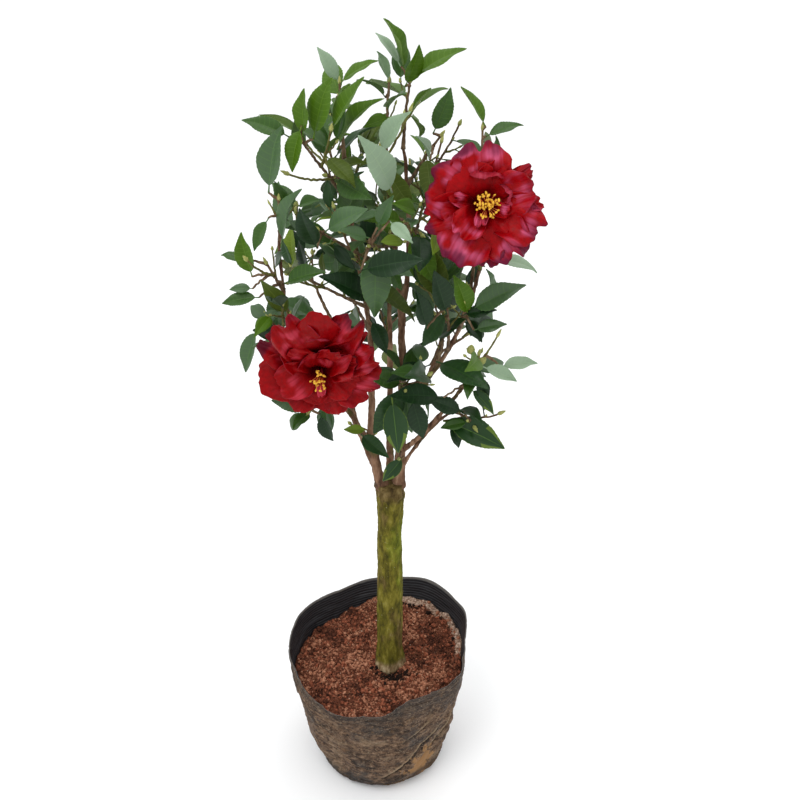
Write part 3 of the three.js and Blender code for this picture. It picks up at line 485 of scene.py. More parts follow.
class Look:
    """A material and its nodes"""

    def __init__(self, name, colour, roughness, level=0.5):
        self.material = bpy.data.materials.new(name)
        self.material.use_nodes = True
        self.nodes = self.material.node_tree.nodes
        self.links = self.material.node_tree.links
        self.shader = self.nodes["Principled BSDF"]
        inputs = {"Base Color": srgb(*colour), "Roughness": roughness, "Specular IOR Level": level}
        self.fill(self.shader, inputs)
        self.place = self.nodes.new("ShaderNodeTexCoord").outputs["Object"]

    def fill(self, node, inputs):
        """Sets inputs of a node, each to a value or to the output of another node"""
        for name, value in inputs.items():
            if isinstance(value, bpy.types.NodeSocket):
                self.links.new(value, node.inputs[name])
            else:
                node.inputs[name].default_value = value
        return node

    def noise(self, scale, detail=4, roughness=0.55, stretch=None):
        node = self.nodes.new("ShaderNodeTexNoise")
        place = self.place
        if stretch:
            mapping = self.nodes.new("ShaderNodeMapping")
            place = self.fill(mapping, {"Vector": place, "Scale": stretch}).outputs["Vector"]
        inputs = {"Vector": place, "Scale": scale, "Detail": detail, "Roughness": roughness}
        return self.fill(node, inputs).outputs["Fac"]

    def ramp(self, value, stops):
        """stops: (place, display colour)"""
        node = self.nodes.new("ShaderNodeValToRGB")
        elements = node.color_ramp.elements
        while len(elements) < len(stops):
            elements.new(0.5)
        for element, (place, colour) in zip(elements, stops):
            element.position = place
            element.color = srgb(*colour)
        return self.fill(node, {"Fac": value}).outputs["Color"]

    def blend(self, share, a, b):
        """Mix of two colours; each is an output, or a display colour"""
        node = self.nodes.new("ShaderNodeMix")
        node.data_type = "RGBA"
        self.links.new(share, node.inputs["Factor"])
        for socket, value in (("A", a), ("B", b)):
            target = next(s for s in node.inputs if s.name == socket and s.type == "RGBA")
            if isinstance(value, tuple):
                target.default_value = srgb(*value)
            else:
                self.links.new(value, target)
        return next(s for s in node.outputs if s.type == "RGBA")

    def span(self, value, low, high, to_low=0.0, to_high=1.0):
        """A value from low to high, carried smoothly over to another range"""
        node = self.nodes.new("ShaderNodeMapRange")
        node.interpolation_type = "SMOOTHSTEP"
        ends = {"From Min": low, "From Max": high, "To Min": to_low, "To Max": to_high}
        return self.fill(node, {"Value": value, **ends}).outputs["Result"]

    def add(self, a, b):
        node = self.nodes.new("ShaderNodeMath")
        node.operation = "ADD"
        return self.fill(node, {0: a, 1: b}).outputs["Value"]

    def attribute(self, name):
        node = self.nodes.new("ShaderNodeAttribute")
        node.attribute_name = name
        return node.outputs["Fac"]

    def height(self):
        """Height above the floor, in metres"""
        node = self.nodes.new("ShaderNodeSeparateXYZ")
        return self.fill(node, {"Vector": self.place}).outputs["Z"]

    def colour(self, output):
        self.fill(self.shader, {"Base Color": output})
        return self

    def rough(self, output, low, high):
        self.fill(self.shader, {"Roughness": self.span(output, 0.3, 0.7, low, high)})
        return self

    def bump(self, *layers):
        """layers: (height output, strength, distance in metres), coarse to fine"""
        normal = None
        for output, strength, distance in layers:
            inputs = {"Strength": strength, "Distance": distance, "Height": output}
            if normal is not None:
                inputs["Normal"] = normal
            normal = self.fill(self.nodes.new("ShaderNodeBump"), inputs).outputs["Normal"]
        self.fill(self.shader, {"Normal": normal})
        return self


def grained_look(name, colour, roughness, level, scale, detail, bump, stops=(), stretch=None):
    """A look with one fine grain, which lifts its surface and shades it along the stops"""
    look = Look(name, colour, roughness, level)
    grain = look.noise(scale, detail, stretch=stretch)
    if stops:
        look.colour(look.ramp(grain, stops))
    look.bump((grain, *bump))
    return look.material


# Leaf tones

# tone: colours of upper side, of veins and margin, and of underside, then roughness and specular level
LEAF_TONES = {
    "deep": ((14, 42, 12), (24, 54, 18), (48, 74, 40), 0.38, 0.24),
    "dark": ((28, 60, 20), (42, 76, 28), (62, 92, 52), 0.36, 0.3),
    "mid": ((48, 80, 22), (64, 97, 32), (84, 112, 58), 0.36, 0.3),
    # blue: a greyer green, partly the leaf's own tone and partly a painted sheen of the pale sky on its gloss
    "blue": ((56, 86, 44), (74, 104, 56), (96, 124, 88), 0.36, 0.5),
    "olive": ((66, 82, 14), (80, 96, 24), (96, 110, 52), 0.46, 0.22),
    "fresh": ((66, 98, 8), (80, 112, 20), (98, 126, 54), 0.44, 0.22),
    # pale: a painted sheen, the grey-green that the sky's reflection gives a glossy leaf, laid into its base
    # colour
    "pale": ((127, 150, 121), (138, 161, 129), (124, 150, 114), 0.40, 0.5),
    "young": ((96, 118, 24), (112, 132, 38), (120, 138, 66), 0.46, 0.24),
    "edged": ((26, 58, 18), (86, 108, 28), (80, 98, 48), 0.38, 0.28),
}
TONE_NAMES = list(LEAF_TONES)


def leaf_looks():
    looks = []
    for name, (upper, vein, under, rough, level) in LEAF_TONES.items():
        blade = Look(f"leaf_{name}", upper, rough, level)
        grain = blade.noise(900, detail=2)
        patch = blade.noise(60, detail=3)
        blade.rough(patch, rough - 0.05, rough + 0.14).bump((patch, 0.3, 0.0008), (grain, 0.2, 0.0002))
        looks.append(blade.material)
        looks.append(grained_look(f"leaf_{name}_vein", vein, 0.5, 0.3, 900, 2, (0.15, 0.0002)))
        looks.append(grained_look(f"leaf_{name}_under", under, 0.6, 0.3, 900, 2, (0.2, 0.0002)))
    return looks


# The growth rule, as in the source

limbs = {}


def build_limbs():
    foot, head = TRUNK["foot"], TRUNK["head"]
    base = SOIL["top"]
    limbs["trunk"] = (
        Curve((*foot, base + TRUNK_FOOT_GAP),
              ((foot[0] + head[0]) / 2, foot[1], (base + TRUNK["top"]) / 2), (*head, TRUNK["top"])),
        TRUNK["taper"][0][1],
    )
    for name, (parent, start, middle, tip, foot_radius, _) in BOUGHS.items():
        begin = start if isinstance(start, tuple) else limbs[parent][0].at(start)
        limbs[name] = (Curve(begin, middle, tip), foot_radius)


class Draws:
    """Park and Miller's draws"""

    def __init__(self, seed):
        self.state = seed * 7919 + 104729
        self.next()

    def next(self):
        self.state = self.state * 48271 % 2147483647
        return self.state / 2147483647

    def between(self, low, high):
        return mix(low, high, self.next())


ROOM_SIZE = 90000
ROOM_WIDEST = 26


class Room:
    """Points that are taken, each with the radius that it keeps clear and its owner"""

    def __init__(self):
        self.points = np.zeros((ROOM_SIZE, 3))
        self.radii = np.zeros(ROOM_SIZE)
        self.owners = np.zeros(ROOM_SIZE, int)
        self.firm = np.zeros(ROOM_SIZE, bool)
        self.names = {}
        self.count = 0

    def owner(self, name):
        return self.names.setdefault(name, len(self.names))

    def take(self, points, radius, owner, firm=False):
        end = self.count + len(points)
        self.firm[self.count:end] = firm
        self.points[self.count:end] = points
        self.radii[self.count:end] = radius
        self.owners[self.count:end] = self.owner(owner)
        self.count = end

    def free(self, points, radius, owner, share=1.0):
        """Whether points clear all that others have taken. share shrinks the radii taken, firm ones aside"""
        middle = points.mean(0)
        reach = np.linalg.norm(points - middle, axis=1).max() + radius + ROOM_WIDEST
        used = self.points[:self.count]
        others = self.owners[:self.count] != self.owner(owner)
        near = np.flatnonzero((np.abs(used - middle) < reach).all(1) & others)
        if len(near) == 0:
            return True
        kept = self.radii[near] * np.where(self.firm[near], 1, share)
        gaps = np.linalg.norm(points[:, None] - used[near][None], axis=2)
        return bool((gaps >= radius + kept[None]).all())


room = Room()


class Leaf:
    """aim: its direction at the root; face: that of its upper side; order: its place down from the tip"""

    def __init__(self, root, aim, face, size, droop, order=0, tone=None):
        self.root, self.aim, self.face, self.size, self.droop = root, aim, face, size, droop
        self.order, self.tone = order, tone

    def samples(self):
        shares = np.array(LEAF_SAMPLES)[:, None]
        across = np.array(ACROSS_SAMPLES)[None, :]
        blade = np.maximum(0, (shares - LEAF["stalk"]) / (1 - LEAF["stalk"]))
        half = self.size * LEAF["width"] * 0.5 * np.clip(np.sin(math.pi * blade ** 0.8), 0, 1) ** 0.8
        side = np.cross(self.aim, self.face)
        drop = (-self.size * self.droop * shares ** 2 + half * np.abs(across) * LEAF["fold"])[..., None]
        along = (self.size * shares * np.ones_like(across))[..., None]
        points = self.root + self.aim * along + self.face * drop + side * (half * across)[..., None]
        return points.reshape(-1, 3)


def grow_shoots(name, row):
    """The shoots of a mass: its stem, then side twigs that turn up"""
    bough, share, tip, rise, _, twigs, seed = row
    draws = Draws(seed)
    parent = limbs[bough][0]
    foot, end = parent.at(share), vector(tip)
    span = np.linalg.norm(end - foot)
    middle = (foot + end) / 2 + parent.heading(share) * 0.12 * span - UP * rise * 0.5 * span
    stem = Curve(foot, middle, end)
    shoots = [(stem, SHOOT["stem"], f"{name} stem")]
    turn = draws.between(0, TAU)
    for k in range(twigs):
        place = 0.5 + 0.3 * k / (twigs - 1) if twigs > 1 else 0.6
        axis = stem.heading(place)
        aim = axis * math.cos(SHOOT["twig_angle"])
        aim = aim + around(axis, turn + k * SHOOT["turn"]) * math.sin(SHOOT["twig_angle"])
        length = draws.between(*SHOOT["twig_spread"]) * SHOOT["twig_length"]
        root = stem.at(place)
        end_point = root + aim * length * 0.9 + UP * length * SHOOT["twig_lift"]
        shoots.append((Curve(root, root + aim * length * 0.5, end_point), SHOOT["twig"], f"{name} twig {k}"))
    return shoots


def face_of(root, aim, axis, tilt):
    """Which way a leaf's upper side looks: to the light, outward and a little along its shoot"""
    outward = unit(vector([root[0] - TRUNK["head"][0], root[1] - TRUNK["head"][1], 0]))
    lift = LIGHT + axis * 0.4 + outward * 0.4
    flat = unit(lift - aim * lift.dot(aim))
    return flat * math.cos(tilt) + np.cross(aim, flat) * math.sin(tilt)


def nearest_on(shoots, place):
    """The point of a mass's shoots that is nearest to a place"""
    best = None
    for curve, _, owner in shoots:
        for i in range(NEAREST_STEPS + 1):
            point = curve.at(i / NEAREST_STEPS)
            distance = float(np.linalg.norm(point - place))
            if best is None or distance < best[0]:
                best = (distance, point, curve.heading(i / NEAREST_STEPS), owner)
    return best


def grow_leading(shoots, row):
    """A leading leaf, and the short twig that carries it where it stands clear of the nearest shoot"""
    _, root_at, tip_at, droop, tone = row
    distance, foot, axis, owner = nearest_on(shoots, vector(root_at))
    twigged = distance > SHOOT["reach"]
    root = vector(root_at) if twigged else foot
    way = vector(tip_at) - root
    length = np.linalg.norm(way)
    way = way / length
    face = face_of(root, way, axis, 0)
    size = length / math.hypot(1, droop)
    leaf = Leaf(root, unit(way + face * droop), unit(face - way * droop), size, droop, tone=tone)
    twig = Curve(foot, (foot + root) / 2 + axis * distance * 0.15, root) if twigged else None
    return leaf, twig, owner


def leaf_aims(axis, turn, open_by, tries, try_open, sag=0):
    """Directions off a shoot, each turned and opened more than the one before"""
    for attempt in range(tries):
        opened = open_by + attempt * try_open
        radial = around(axis, turn + attempt * LEAF["try_turn"])
        yield unit(axis * math.cos(opened) + radial * math.sin(opened) - UP * sag)


def first_leaf(root, axis, aims, tilt, size, droop, order, fits):
    """The first leaf that finds room, in a list, or an empty list"""
    for aim in aims:
        leaf = Leaf(root, aim, face_of(root, aim, axis, tilt), size, droop, order)
        samples = leaf.samples()
        if fits(samples):
            room.take(samples, LEAF["clear"], "leaf")
            return [leaf]
    return []


def grow_leaves(curve, owner, count, draws):
    """The leaves of one shoot, from its tip down, wherever there is room"""
    turn = draws.between(0, TAU)
    leaves = []
    for k in range(count):
        place = 1 - (k + 0.15) * LEAF["spacing"] / curve.span
        if place < SHOOT["bare_foot"]:
            break
        root, axis = curve.at(place), curve.heading(place)
        size = LEAF["length"] * draws.between(*LEAF["size_spread"])
        sag = draws.between(*LEAF["sag"]) * min(1, k / 2)
        opening = mix(*LEAF["opening"], min(1, k / 2)) + draws.between(*LEAF["opening_spread"])
        droop, tilt = draws.between(*LEAF["droop"]), draws.between(*LEAF["tilt"])
        turned_by = turn + k * SHOOT["turn"]
        aims = leaf_aims(axis, turned_by, math.radians(opening), LEAF["tries"], LEAF["try_open"], sag)
        leaves += first_leaf(root, axis, aims, tilt, size, droop, k,
                             lambda samples: room.free(samples, LEAF["clear"], owner))
    return leaves


def bloom_frame(row):
    """A bloom's centre, its stalk's foot and its three directions"""
    bough, share, centre, facing, radius = row
    face = unit(vector(facing))
    across = unit(np.cross(face, UP))
    return {
        "foot": limbs[bough][0].at(share),
        "centre": vector(centre),
        "face": face,
        "right": -across,
        "across": across,
        "upright": np.cross(across, face),
        "radius": radius,
    }


def off_axis(bloom, angle):
    """A direction square to a bloom's axis, 0 to its right and a quarter turn up"""
    return bloom["right"] * math.cos(angle) + bloom["upright"] * math.sin(angle)


def take_bloom(name, bloom):
    """Keeps leaves off a bloom: off a ring inside its rim, its middle and its stalk"""
    angles = circle(BLOOM_ROOM["points"])
    out = np.cos(angles)[:, None] * bloom["across"] + np.sin(angles)[:, None] * bloom["upright"]
    ring = bloom["centre"] + bloom["radius"] * BLOOM_ROOM["ring"] * out
    room.take(ring, bloom["radius"] * BLOOM_ROOM["round_ring"], name)
    room.take(bloom["centre"][None], bloom["radius"] * BLOOM_ROOM["round_middle"], name)
    room.take(((bloom["foot"] + bloom["centre"]) / 2)[None], BLOOM_ROOM["stalk"], name)


def sight_line(x, height):
    """Points along the line of sight that crosses the trunk's plane at a place"""
    from_x, from_y, from_height = SIGHT["from"]
    y = np.arange(SIGHT["front"], SIGHT["back"] + 1, SIGHT["step"])
    share = 1 - y / from_y
    return np.stack([mix(from_x, x, share), y, mix(from_height, height, share)], -1)


def half_up(value):
    """Rounds halves up, as the source does"""
    return math.floor(value + 0.5)


build_limbs()
for limb_name, (limb_curve, limb_radius) in limbs.items():
    room.take(limb_curve.samples(0), limb_radius, limb_name)
blooms = {name: bloom_frame(row) for name, row in BLOOMS.items()}
for bloom_name, bloom in blooms.items():
    take_bloom(bloom_name, bloom)
for place_x, place_height, clear_radius in OPEN_PLACES.values():
    room.take(sight_line(place_x, place_height), clear_radius, "open place", firm=True)
shoots_of = {name: grow_shoots(name, row) for name, row in MASSES.items()}
for shoots in shoots_of.values():
    for curve, _, owner in shoots:
        room.take(curve.samples(WOOD_SAMPLES["shoot_foot"]), WOOD_SAMPLES["shoot_radius"], owner)

leading_of = {name: [] for name in MASSES}
for row in LEADING_LEAVES.values():
    leading_of[row[0]].append(grow_leading(shoots_of[row[0]], row))
for leading in leading_of.values():
    for leaf, twig, owner in leading:
        room.take(leaf.samples(), LEAF["clear"], "leaf")
        if twig:
            room.take(twig.samples(WOOD_SAMPLES["shoot_foot"]), WOOD_SAMPLES["shoot_radius"], owner)

leaves_of = {}
for name, row in MASSES.items():
    leaf_count, twigs, seed = row[4:]
    on_stem = leaf_count if twigs == 0 else max(3, half_up(leaf_count * 0.5))
    on_twig = 0 if twigs == 0 else max(2, half_up(leaf_count * 0.5 / twigs) + 1)
    leaves_of[name] = []
    for i, (curve, _, owner) in enumerate(shoots_of[name]):
        leaves_of[name] += grow_leaves(curve, owner, on_twig if i else on_stem, Draws(seed * 31 + i * 7))

# Finer twigs that the source leaves out, each with a few small leaves, inside the same reach

FINE = {
    "places": (0.3, 0.46, 0.62, 0.78),
    "twig_places": (0.4, 0.72),
    "length": (12, 26),
    "angle": (38, 70),
    "lift": 0.2,
    "upturn": 0.15,
    "radius": (1.0, 0.7),
    "wood_foot": 0.4,
    "wood_clear": 1.2,
    "leaves": 3,
    "leaf": (27, 44),
    "leaf_step": 0.3,
    "opening": (18, 22),
    "try_open": math.radians(9),
    "droop": (0.04, 0.25),
    "tilt": (-0.7, 0.7),
    "clear": 1.6,
    "share": 0.55,
    "tries": 5,
    "margin": 5,
    "airy_above": 780,
    "seed": 4021,
}


def inside(points, low, high):
    return bool((points >= low).all() and (points <= high).all())


def grow_fine(name, shoots, draws):
    """Side twigs too fine for the source, kept within the mass's own reach"""
    blades = leaves_of[name] + [leaf for leaf, _, _ in leading_of[name]]
    own = np.concatenate([leaf.samples() for leaf in blades] + [curve.samples(0) for curve, _, _ in shoots])
    low, high = own.min(0) - FINE["margin"], own.max(0) + FINE["margin"]
    grown = []
    airy = shoots[0][0].tip[2] > FINE["airy_above"]
    for shoot_number, (curve, _, owner) in enumerate(shoots):
        places = FINE["twig_places"] if shoot_number or airy else FINE["places"]
        turn = draws.between(0, TAU)
        for k, place in enumerate(places):
            axis, root = curve.heading(place), curve.at(place)
            angle = math.radians(draws.between(*FINE["angle"]))
            radial = around(axis, turn + k * SHOOT["turn"])
            aim = unit(axis * math.cos(angle) + radial * math.sin(angle) + UP * FINE["lift"])
            length = draws.between(*FINE["length"])
            tip = root + aim * length * 0.92 + UP * length * FINE["upturn"]
            fine = Curve(root, root + aim * length * 0.5, tip)
            wood = fine.samples(FINE["wood_foot"])
            if not (inside(wood, low, high) and room.free(wood, FINE["wood_clear"], owner, FINE["share"])):
                continue
            fine_owner = f"{name} fine {shoot_number} {k}"
            room.take(wood, FINE["radius"][0], fine_owner)
            leaves = grow_small(fine, fine_owner, low, high, draws)
            grown.append((fine, FINE["radius"], leaves))
    return grown


def grow_small(curve, owner, low, high, draws):
    """The small leaves of a fine twig, inside the box from low to high"""

    def fits(samples):
        return inside(samples, low, high) and room.free(samples, FINE["clear"], owner, FINE["share"])

    leaves = []
    turn = draws.between(0, TAU)
    for k in range(FINE["leaves"]):
        place = 1 - k * FINE["leaf_step"]
        root, axis = curve.at(place), curve.heading(place)
        size = draws.between(*FINE["leaf"])
        droop, tilt = draws.between(*FINE["droop"]), draws.between(*FINE["tilt"])
        opening = math.radians(FINE["opening"][0] + FINE["opening"][1] * k)
        aims = leaf_aims(axis, turn + k * SHOOT["turn"], opening, FINE["tries"], FINE["try_open"])
        leaves += first_leaf(root, axis, aims, tilt, size, droop, k, fits)
    return leaves


fine_of = {
    name: grow_fine(name, shoots, Draws(FINE["seed"] + number))
    for number, (name, shoots) in enumerate(shoots_of.items())
}

# Leaf meshes

VEINS = 8
BLADE_ROWS = [0, 0.035]
for vein in range(VEINS):
    vein_place = 0.085 + 0.108 * vein
    BLADE_ROWS += [vein_place, vein_place + 0.009, vein_place + 0.06]
BLADE_ROWS += [0.965, 1.0]
BLADE_ROWS = np.array(BLADE_ROWS)
BLADE_COLUMNS = np.array([-1, -0.965, -0.62, -0.3, -0.034, 0.034, 0.3, 0.62, 0.965, 1])
SMALL_ROWS = np.array([0, 0.05, 0.16, 0.28, 0.4, 0.52, 0.64, 0.76, 0.87, 0.95, 1])
SMALL_COLUMNS = np.array([-1, -0.6, -0.04, 0.04, 0.6, 1])
UPPER, VEIN, UNDER = 0, 1, 2
# share of the blade after which the tone "edged" colours its margins in place of its side veins
EDGED_FROM = 0.5
BLADE = {
    "spread": (0.92, 1.06),
    "sweep": 0.10,
    "fold": (0.26, 0.62),
    "edge_drop": (0.02, 0.26),
    "wave": (0.4, 1.6),
    "waves": (1.1, 2.1),
    "vein": (-0.06, 0.05),
    "tooth": 0.28,
    "groove": -0.32,
    "groove_half": 0.1,
    "twist": 0.4,
    "tip_drop": (-0.02, 0.12),
    "sway": 0.06,
    "thick": (0.85, 0.38, 0.16),
    "tip_thick": 0.4,
    "usual_size": 60,
}
# leaf stalk: share along the leaf and radius in mm on a leaf of the usual size
LEAF_STALK = [(0.0, 1.05), (0.05, 0.8), (0.1, 0.75), (0.17, 0.35)]
STALK_BELOW = 0.35


def leaf_width(blade):
    """Half width over the widest half width, drawn out to a fine tip"""
    width = np.clip(np.sin(math.pi * np.clip(blade, 0, 1) ** 0.82), 0, 1) ** 0.84
    width = width * (1 - 0.42 * smooth(0.72, 0.97, blade) * (1 - blade) / 0.28)
    return np.maximum(width, mix(0.045, 0.012, blade))


def add_leaf(heap, leaf, tone, rng, small=False):
    """One leaf: b runs along its blade and c across it, from margin to margin"""
    rows, columns = (SMALL_ROWS, SMALL_COLUMNS) if small else (BLADE_ROWS, BLADE_COLUMNS)
    b, c = np.meshgrid(rows, columns, indexing="ij")
    edge = np.abs(c)
    size = leaf.size
    swept = b + BLADE["sweep"] * edge ** 1.3 * 4 * b * (1 - b)
    share = mix(LEAF["stalk"], 1, swept)
    half = size * LEAF["width"] * 0.5 * leaf_width(swept) * rng.uniform(*BLADE["spread"])
    fold = rng.uniform(*BLADE["fold"])
    height = half * edge * fold - half * edge ** 3 * rng.uniform(*BLADE["edge_drop"])
    wave = rng.uniform(*BLADE["wave"]) * size / BLADE["usual_size"]
    phase = rng.uniform(0, TAU, 2)
    rate = rng.uniform(*BLADE["waves"])
    ripple = np.sin(rate * TAU * b + np.where(c > 0, phase[0], phase[1]))
    height = height + wave * edge ** 2 * ripple * np.sin(math.pi * b)
    if not small:
        row = np.arange(len(rows))[:, None]
        in_vein = ((row - 2) % 3 < 2) & (row >= 2) & (row < len(rows) - 2)
        body = (1 - edge ** 2) * np.sin(math.pi * b) ** 0.5
        height = height + np.where(in_vein, *BLADE["vein"]) * body
        tooth = np.where(row % 2 == 0, BLADE["tooth"], -BLADE["tooth"])
        half = half + tooth * (edge >= 1) * (b > 0.05) * (b < 0.97)
    in_groove = edge < BLADE["groove_half"]
    height = height + np.where(in_groove, BLADE["groove"], 0) * np.sin(math.pi * np.clip(b, 0, 0.97)) ** 0.5
    twist = rng.uniform(-BLADE["twist"], BLADE["twist"]) * b
    side = np.cross(leaf.aim, leaf.face)
    side_row = side * np.cos(twist)[..., None] + leaf.face * np.sin(twist)[..., None]
    face_row = leaf.face * np.cos(twist)[..., None] - side * np.sin(twist)[..., None]
    tip = size * rng.uniform(*BLADE["tip_drop"]) * np.clip((b - 0.62) / 0.38, 0, 1) ** 2
    sway = size * rng.uniform(-BLADE["sway"], BLADE["sway"]) * share ** 2
    drop = -size * leaf.droop * share ** 2 - tip
    middle = leaf.root + leaf.aim * (size * share)[..., None] + leaf.face * drop[..., None]
    middle = middle + side * sway[..., None]
    upper = middle + side_row * (half * c)[..., None] + face_row * height[..., None]
    at_midrib, at_blade, at_edge = BLADE["thick"]
    thick = np.where(in_groove, at_midrib, np.where(edge >= 1, at_edge, at_blade))
    thick = thick * np.where(b > 0.98, BLADE["tip_thick"], 1)
    lower = upper - face_row * thick[..., None]
    base = TONE_NAMES.index(tone) * 3
    front_looks = blade_looks(len(rows), len(columns), tone, small)
    heap.add(*sheet(upper, lower), [front_looks, base + UNDER, base + VEIN])
    shares, radii = np.array(LEAF_STALK).T
    stalk = leaf.root + leaf.aim * (size * shares)[:, None]
    stalk = stalk - leaf.face * (size * leaf.droop * shares ** 2 + STALK_BELOW)[:, None]
    heap.add(*tube(stalk, radii * (size / BLADE["usual_size"]) ** 0.5, 6), base + VEIN)


def blade_looks(rows, columns, tone, small):
    """The material of each face of a leaf's upper side"""
    across = columns - 1
    row, column = np.divmod(np.arange((rows - 1) * across), across)
    midrib = column == across // 2
    ribbed = midrib
    if not small:
        from_margin = np.minimum(column, across - 1 - column)
        marked = ((row - 2) % 3 == 0) & (row >= 2) & (row < rows - 3)
        if tone == "edged":
            marked = (from_margin < 2) & (row > rows * EDGED_FROM)
        ribbed = midrib | marked | (from_margin == 0)
    base = TONE_NAMES.index(tone) * 3
    looks = np.where(ribbed, base + VEIN, base + UPPER)
    if tone == "edged":
        looks[midrib] = TONE_NAMES.index("mid") * 3 + VEIN
    return looks


# height in mm up to which the leaves are dealt these tones: deeper low down, as painted shade in the lower
# crown, and fresher high up, partly as young growth and partly as painted light shining through the top
# leaves
TONES_BY_HEIGHT = [
    (560, ("deep", "dark", "dark", "mid", "blue")),
    (700, ("deep", "dark", "dark", "mid", "mid", "blue", "blue", "olive")),
    (780, ("dark", "mid", "mid", "mid", "blue", "olive", "fresh")),
    (2000, ("mid", "olive", "fresh", "fresh", "fresh", "fresh")),
]
TIP_TONES = ("mid", "fresh", "olive", "blue", "young")
TIP_TONES_ABOVE = 600
TIP_TONES_SHARE = 0.35
TONE_BLUR = 30


def tone_of(leaf, rng):
    """A leading leaf has its own tone. Of the others, low ones are deeper, as painted shade, high ones
    fresher, partly as young growth and partly as painted light through them, and tips fresher as young growth
    """
    if leaf.tone:
        return leaf.tone
    if leaf.order == 0 and leaf.root[2] > TIP_TONES_ABOVE and rng.random() < TIP_TONES_SHARE:
        return rng.choice(TIP_TONES)
    height = leaf.root[2] + rng.normal(0, TONE_BLUR)
    return rng.choice(next(tones for top, tones in TONES_BY_HEIGHT if height < top))


REGIONS = {
    "leaves_top": ("top", "top_left", "top_middle", "upper_left", "above_right_bloom", "upper_right",
                   "upper_front", "upper_inner", "left"),
    "leaves_middle": ("left_front", "far_left", "left_low", "middle_front", "middle_right", "middle_left",
                      "right_inner", "right", "right_middle", "left_middle"),
    "leaves_low": ("right_low", "right_skirt", "front_low", "foot", "left_foot", "left_skirt"),
    "leaves_back": ("back_upper_left", "back_upper_right", "back_left", "back_middle", "back_right",
                    "back_low_left", "back_low_right", "back_low"),
}
leaf_materials = leaf_looks()
for region, members in REGIONS.items():
    heap = Heap()
    for name in members:
        rng = np.random.default_rng(MASSES[name][-1])
        for leaf in [leaf for leaf, _, _ in leading_of[name]] + leaves_of[name]:
            add_leaf(heap, leaf, tone_of(leaf, rng), rng)
        for _, _, leaves in fine_of[name]:
            for leaf in leaves:
                add_leaf(heap, leaf, tone_of(leaf, rng), rng, small=True)
    heap.make(region, leaf_materials, [f"foliage_{name}" for name in members], "foliage")

# Twigs and buds

TWIG_STEP = 3.0
TWIG_BEND = 0.35
# swelling of a twig: share, place along the spacing and length at a leaf, then share and length at the foot
NODE_SWELL, NODE_AT, NODE_LENGTH = 0.22, 6.5, 3.0
FOOT_SWELL, FOOT_LENGTH = 0.5, 3.5


def add_shoot(heap, curve, radii, rng, sides=8, look=0):
    """A twig with swollen nodes where its leaves stand"""
    steps = max(4, math.ceil(curve.span / TWIG_STEP))
    shares = np.arange(steps + 1) / steps
    along = shares * curve.span
    nodes = NODE_SWELL * np.exp(-((along % LEAF["spacing"]) - NODE_AT) ** 2 / NODE_LENGTH)
    swell = 1 + nodes + FOOT_SWELL * np.exp(-along / FOOT_LENGTH)
    bend = rng.normal(0, TWIG_BEND, (steps + 1, 3)) * np.sin(math.pi * shares)[:, None]
    heap.add(*tube(curve.at(shares) + bend, mix(*radii, shares) * swell, sides), look)


# bud: share along it, radius there as a share, and which way its scales' edges stand out
BUD_PROFILE = np.array([
    (0, 0.45, 0), (0.12, 0.85, 0), (0.3, 1.0, 1), (0.34, 0.9, -1),
    (0.55, 0.82, -1), (0.6, 0.7, 1), (0.85, 0.36, 1), (1, 0.06, 0),
])
BUD_SIDES = 8
BUD_LOBES = 0.10


def add_bud(heap, root, aim, length, radius, look):
    """A pointed bud of overlapping scales"""
    shares, widths, lobed = BUD_PROFILE.T
    lobes = 1 + BUD_LOBES * np.cos(3 * circle(BUD_SIDES))[None, :] * lobed[:, None]
    centres = root + aim * (shares * length)[:, None]
    heap.add(*tube(centres, (widths * radius)[:, None] * lobes, BUD_SIDES), look)


# look: colour, roughness, specular level, scale and detail of its grain, bump, shades, stretch
TWIG_LOOKS = [
    ("twig_brown", (112, 84, 62), 0.75, 0.2, 220, 4, (0.5, 0.0006),
     [(0.25, (64, 46, 32)), (0.5, (104, 82, 60)), (0.78, (146, 124, 96))], (1, 1, 0.35)),
    ("twig_green", (110, 112, 58), 0.6, 0.2, 160, 3, (0.3, 0.0004),
     [(0.3, (84, 70, 38)), (0.7, (112, 116, 54))]),
    ("bud_green", (150, 158, 84), 0.5, 0.25, 260, 3, (0.3, 0.0003),
     [(0.3, (128, 138, 66)), (0.75, (176, 172, 104))]),
]
# flower bud: its mass, root, direction, length and radius
FLOWER_BUDS = [
    ("right_low", (93, -64, 602), (0.1, -0.4, 1), 11, 4.4),
    ("right_low", (103, -66, 592), (0.5, -0.4, 0.8), 10, 4.0),
]
BUD_STALK = (1.1, 1.3)
# leaf bud: limits of its length and of its radius
TIP_BUD = (7, 11), (1.7, 2.4)
FINE_BUD = (4, 7), (1.1, 1.7)
SIDE_BUD = (3.5, 6), (1.0, 1.5)
GREEN_SHARE = 0.5
SIDE_BUD_SHARE = 0.5
BROWN, GREEN, BUD = 0, 1, 2
TWIG_SEED = 77
twigs = Heap()
buds = Heap()
rng = np.random.default_rng(TWIG_SEED)


def add_leaf_bud(root, aim, limits):
    lengths, radii = limits
    add_bud(buds, root, aim, rng.uniform(*lengths), rng.uniform(*radii), BUD)


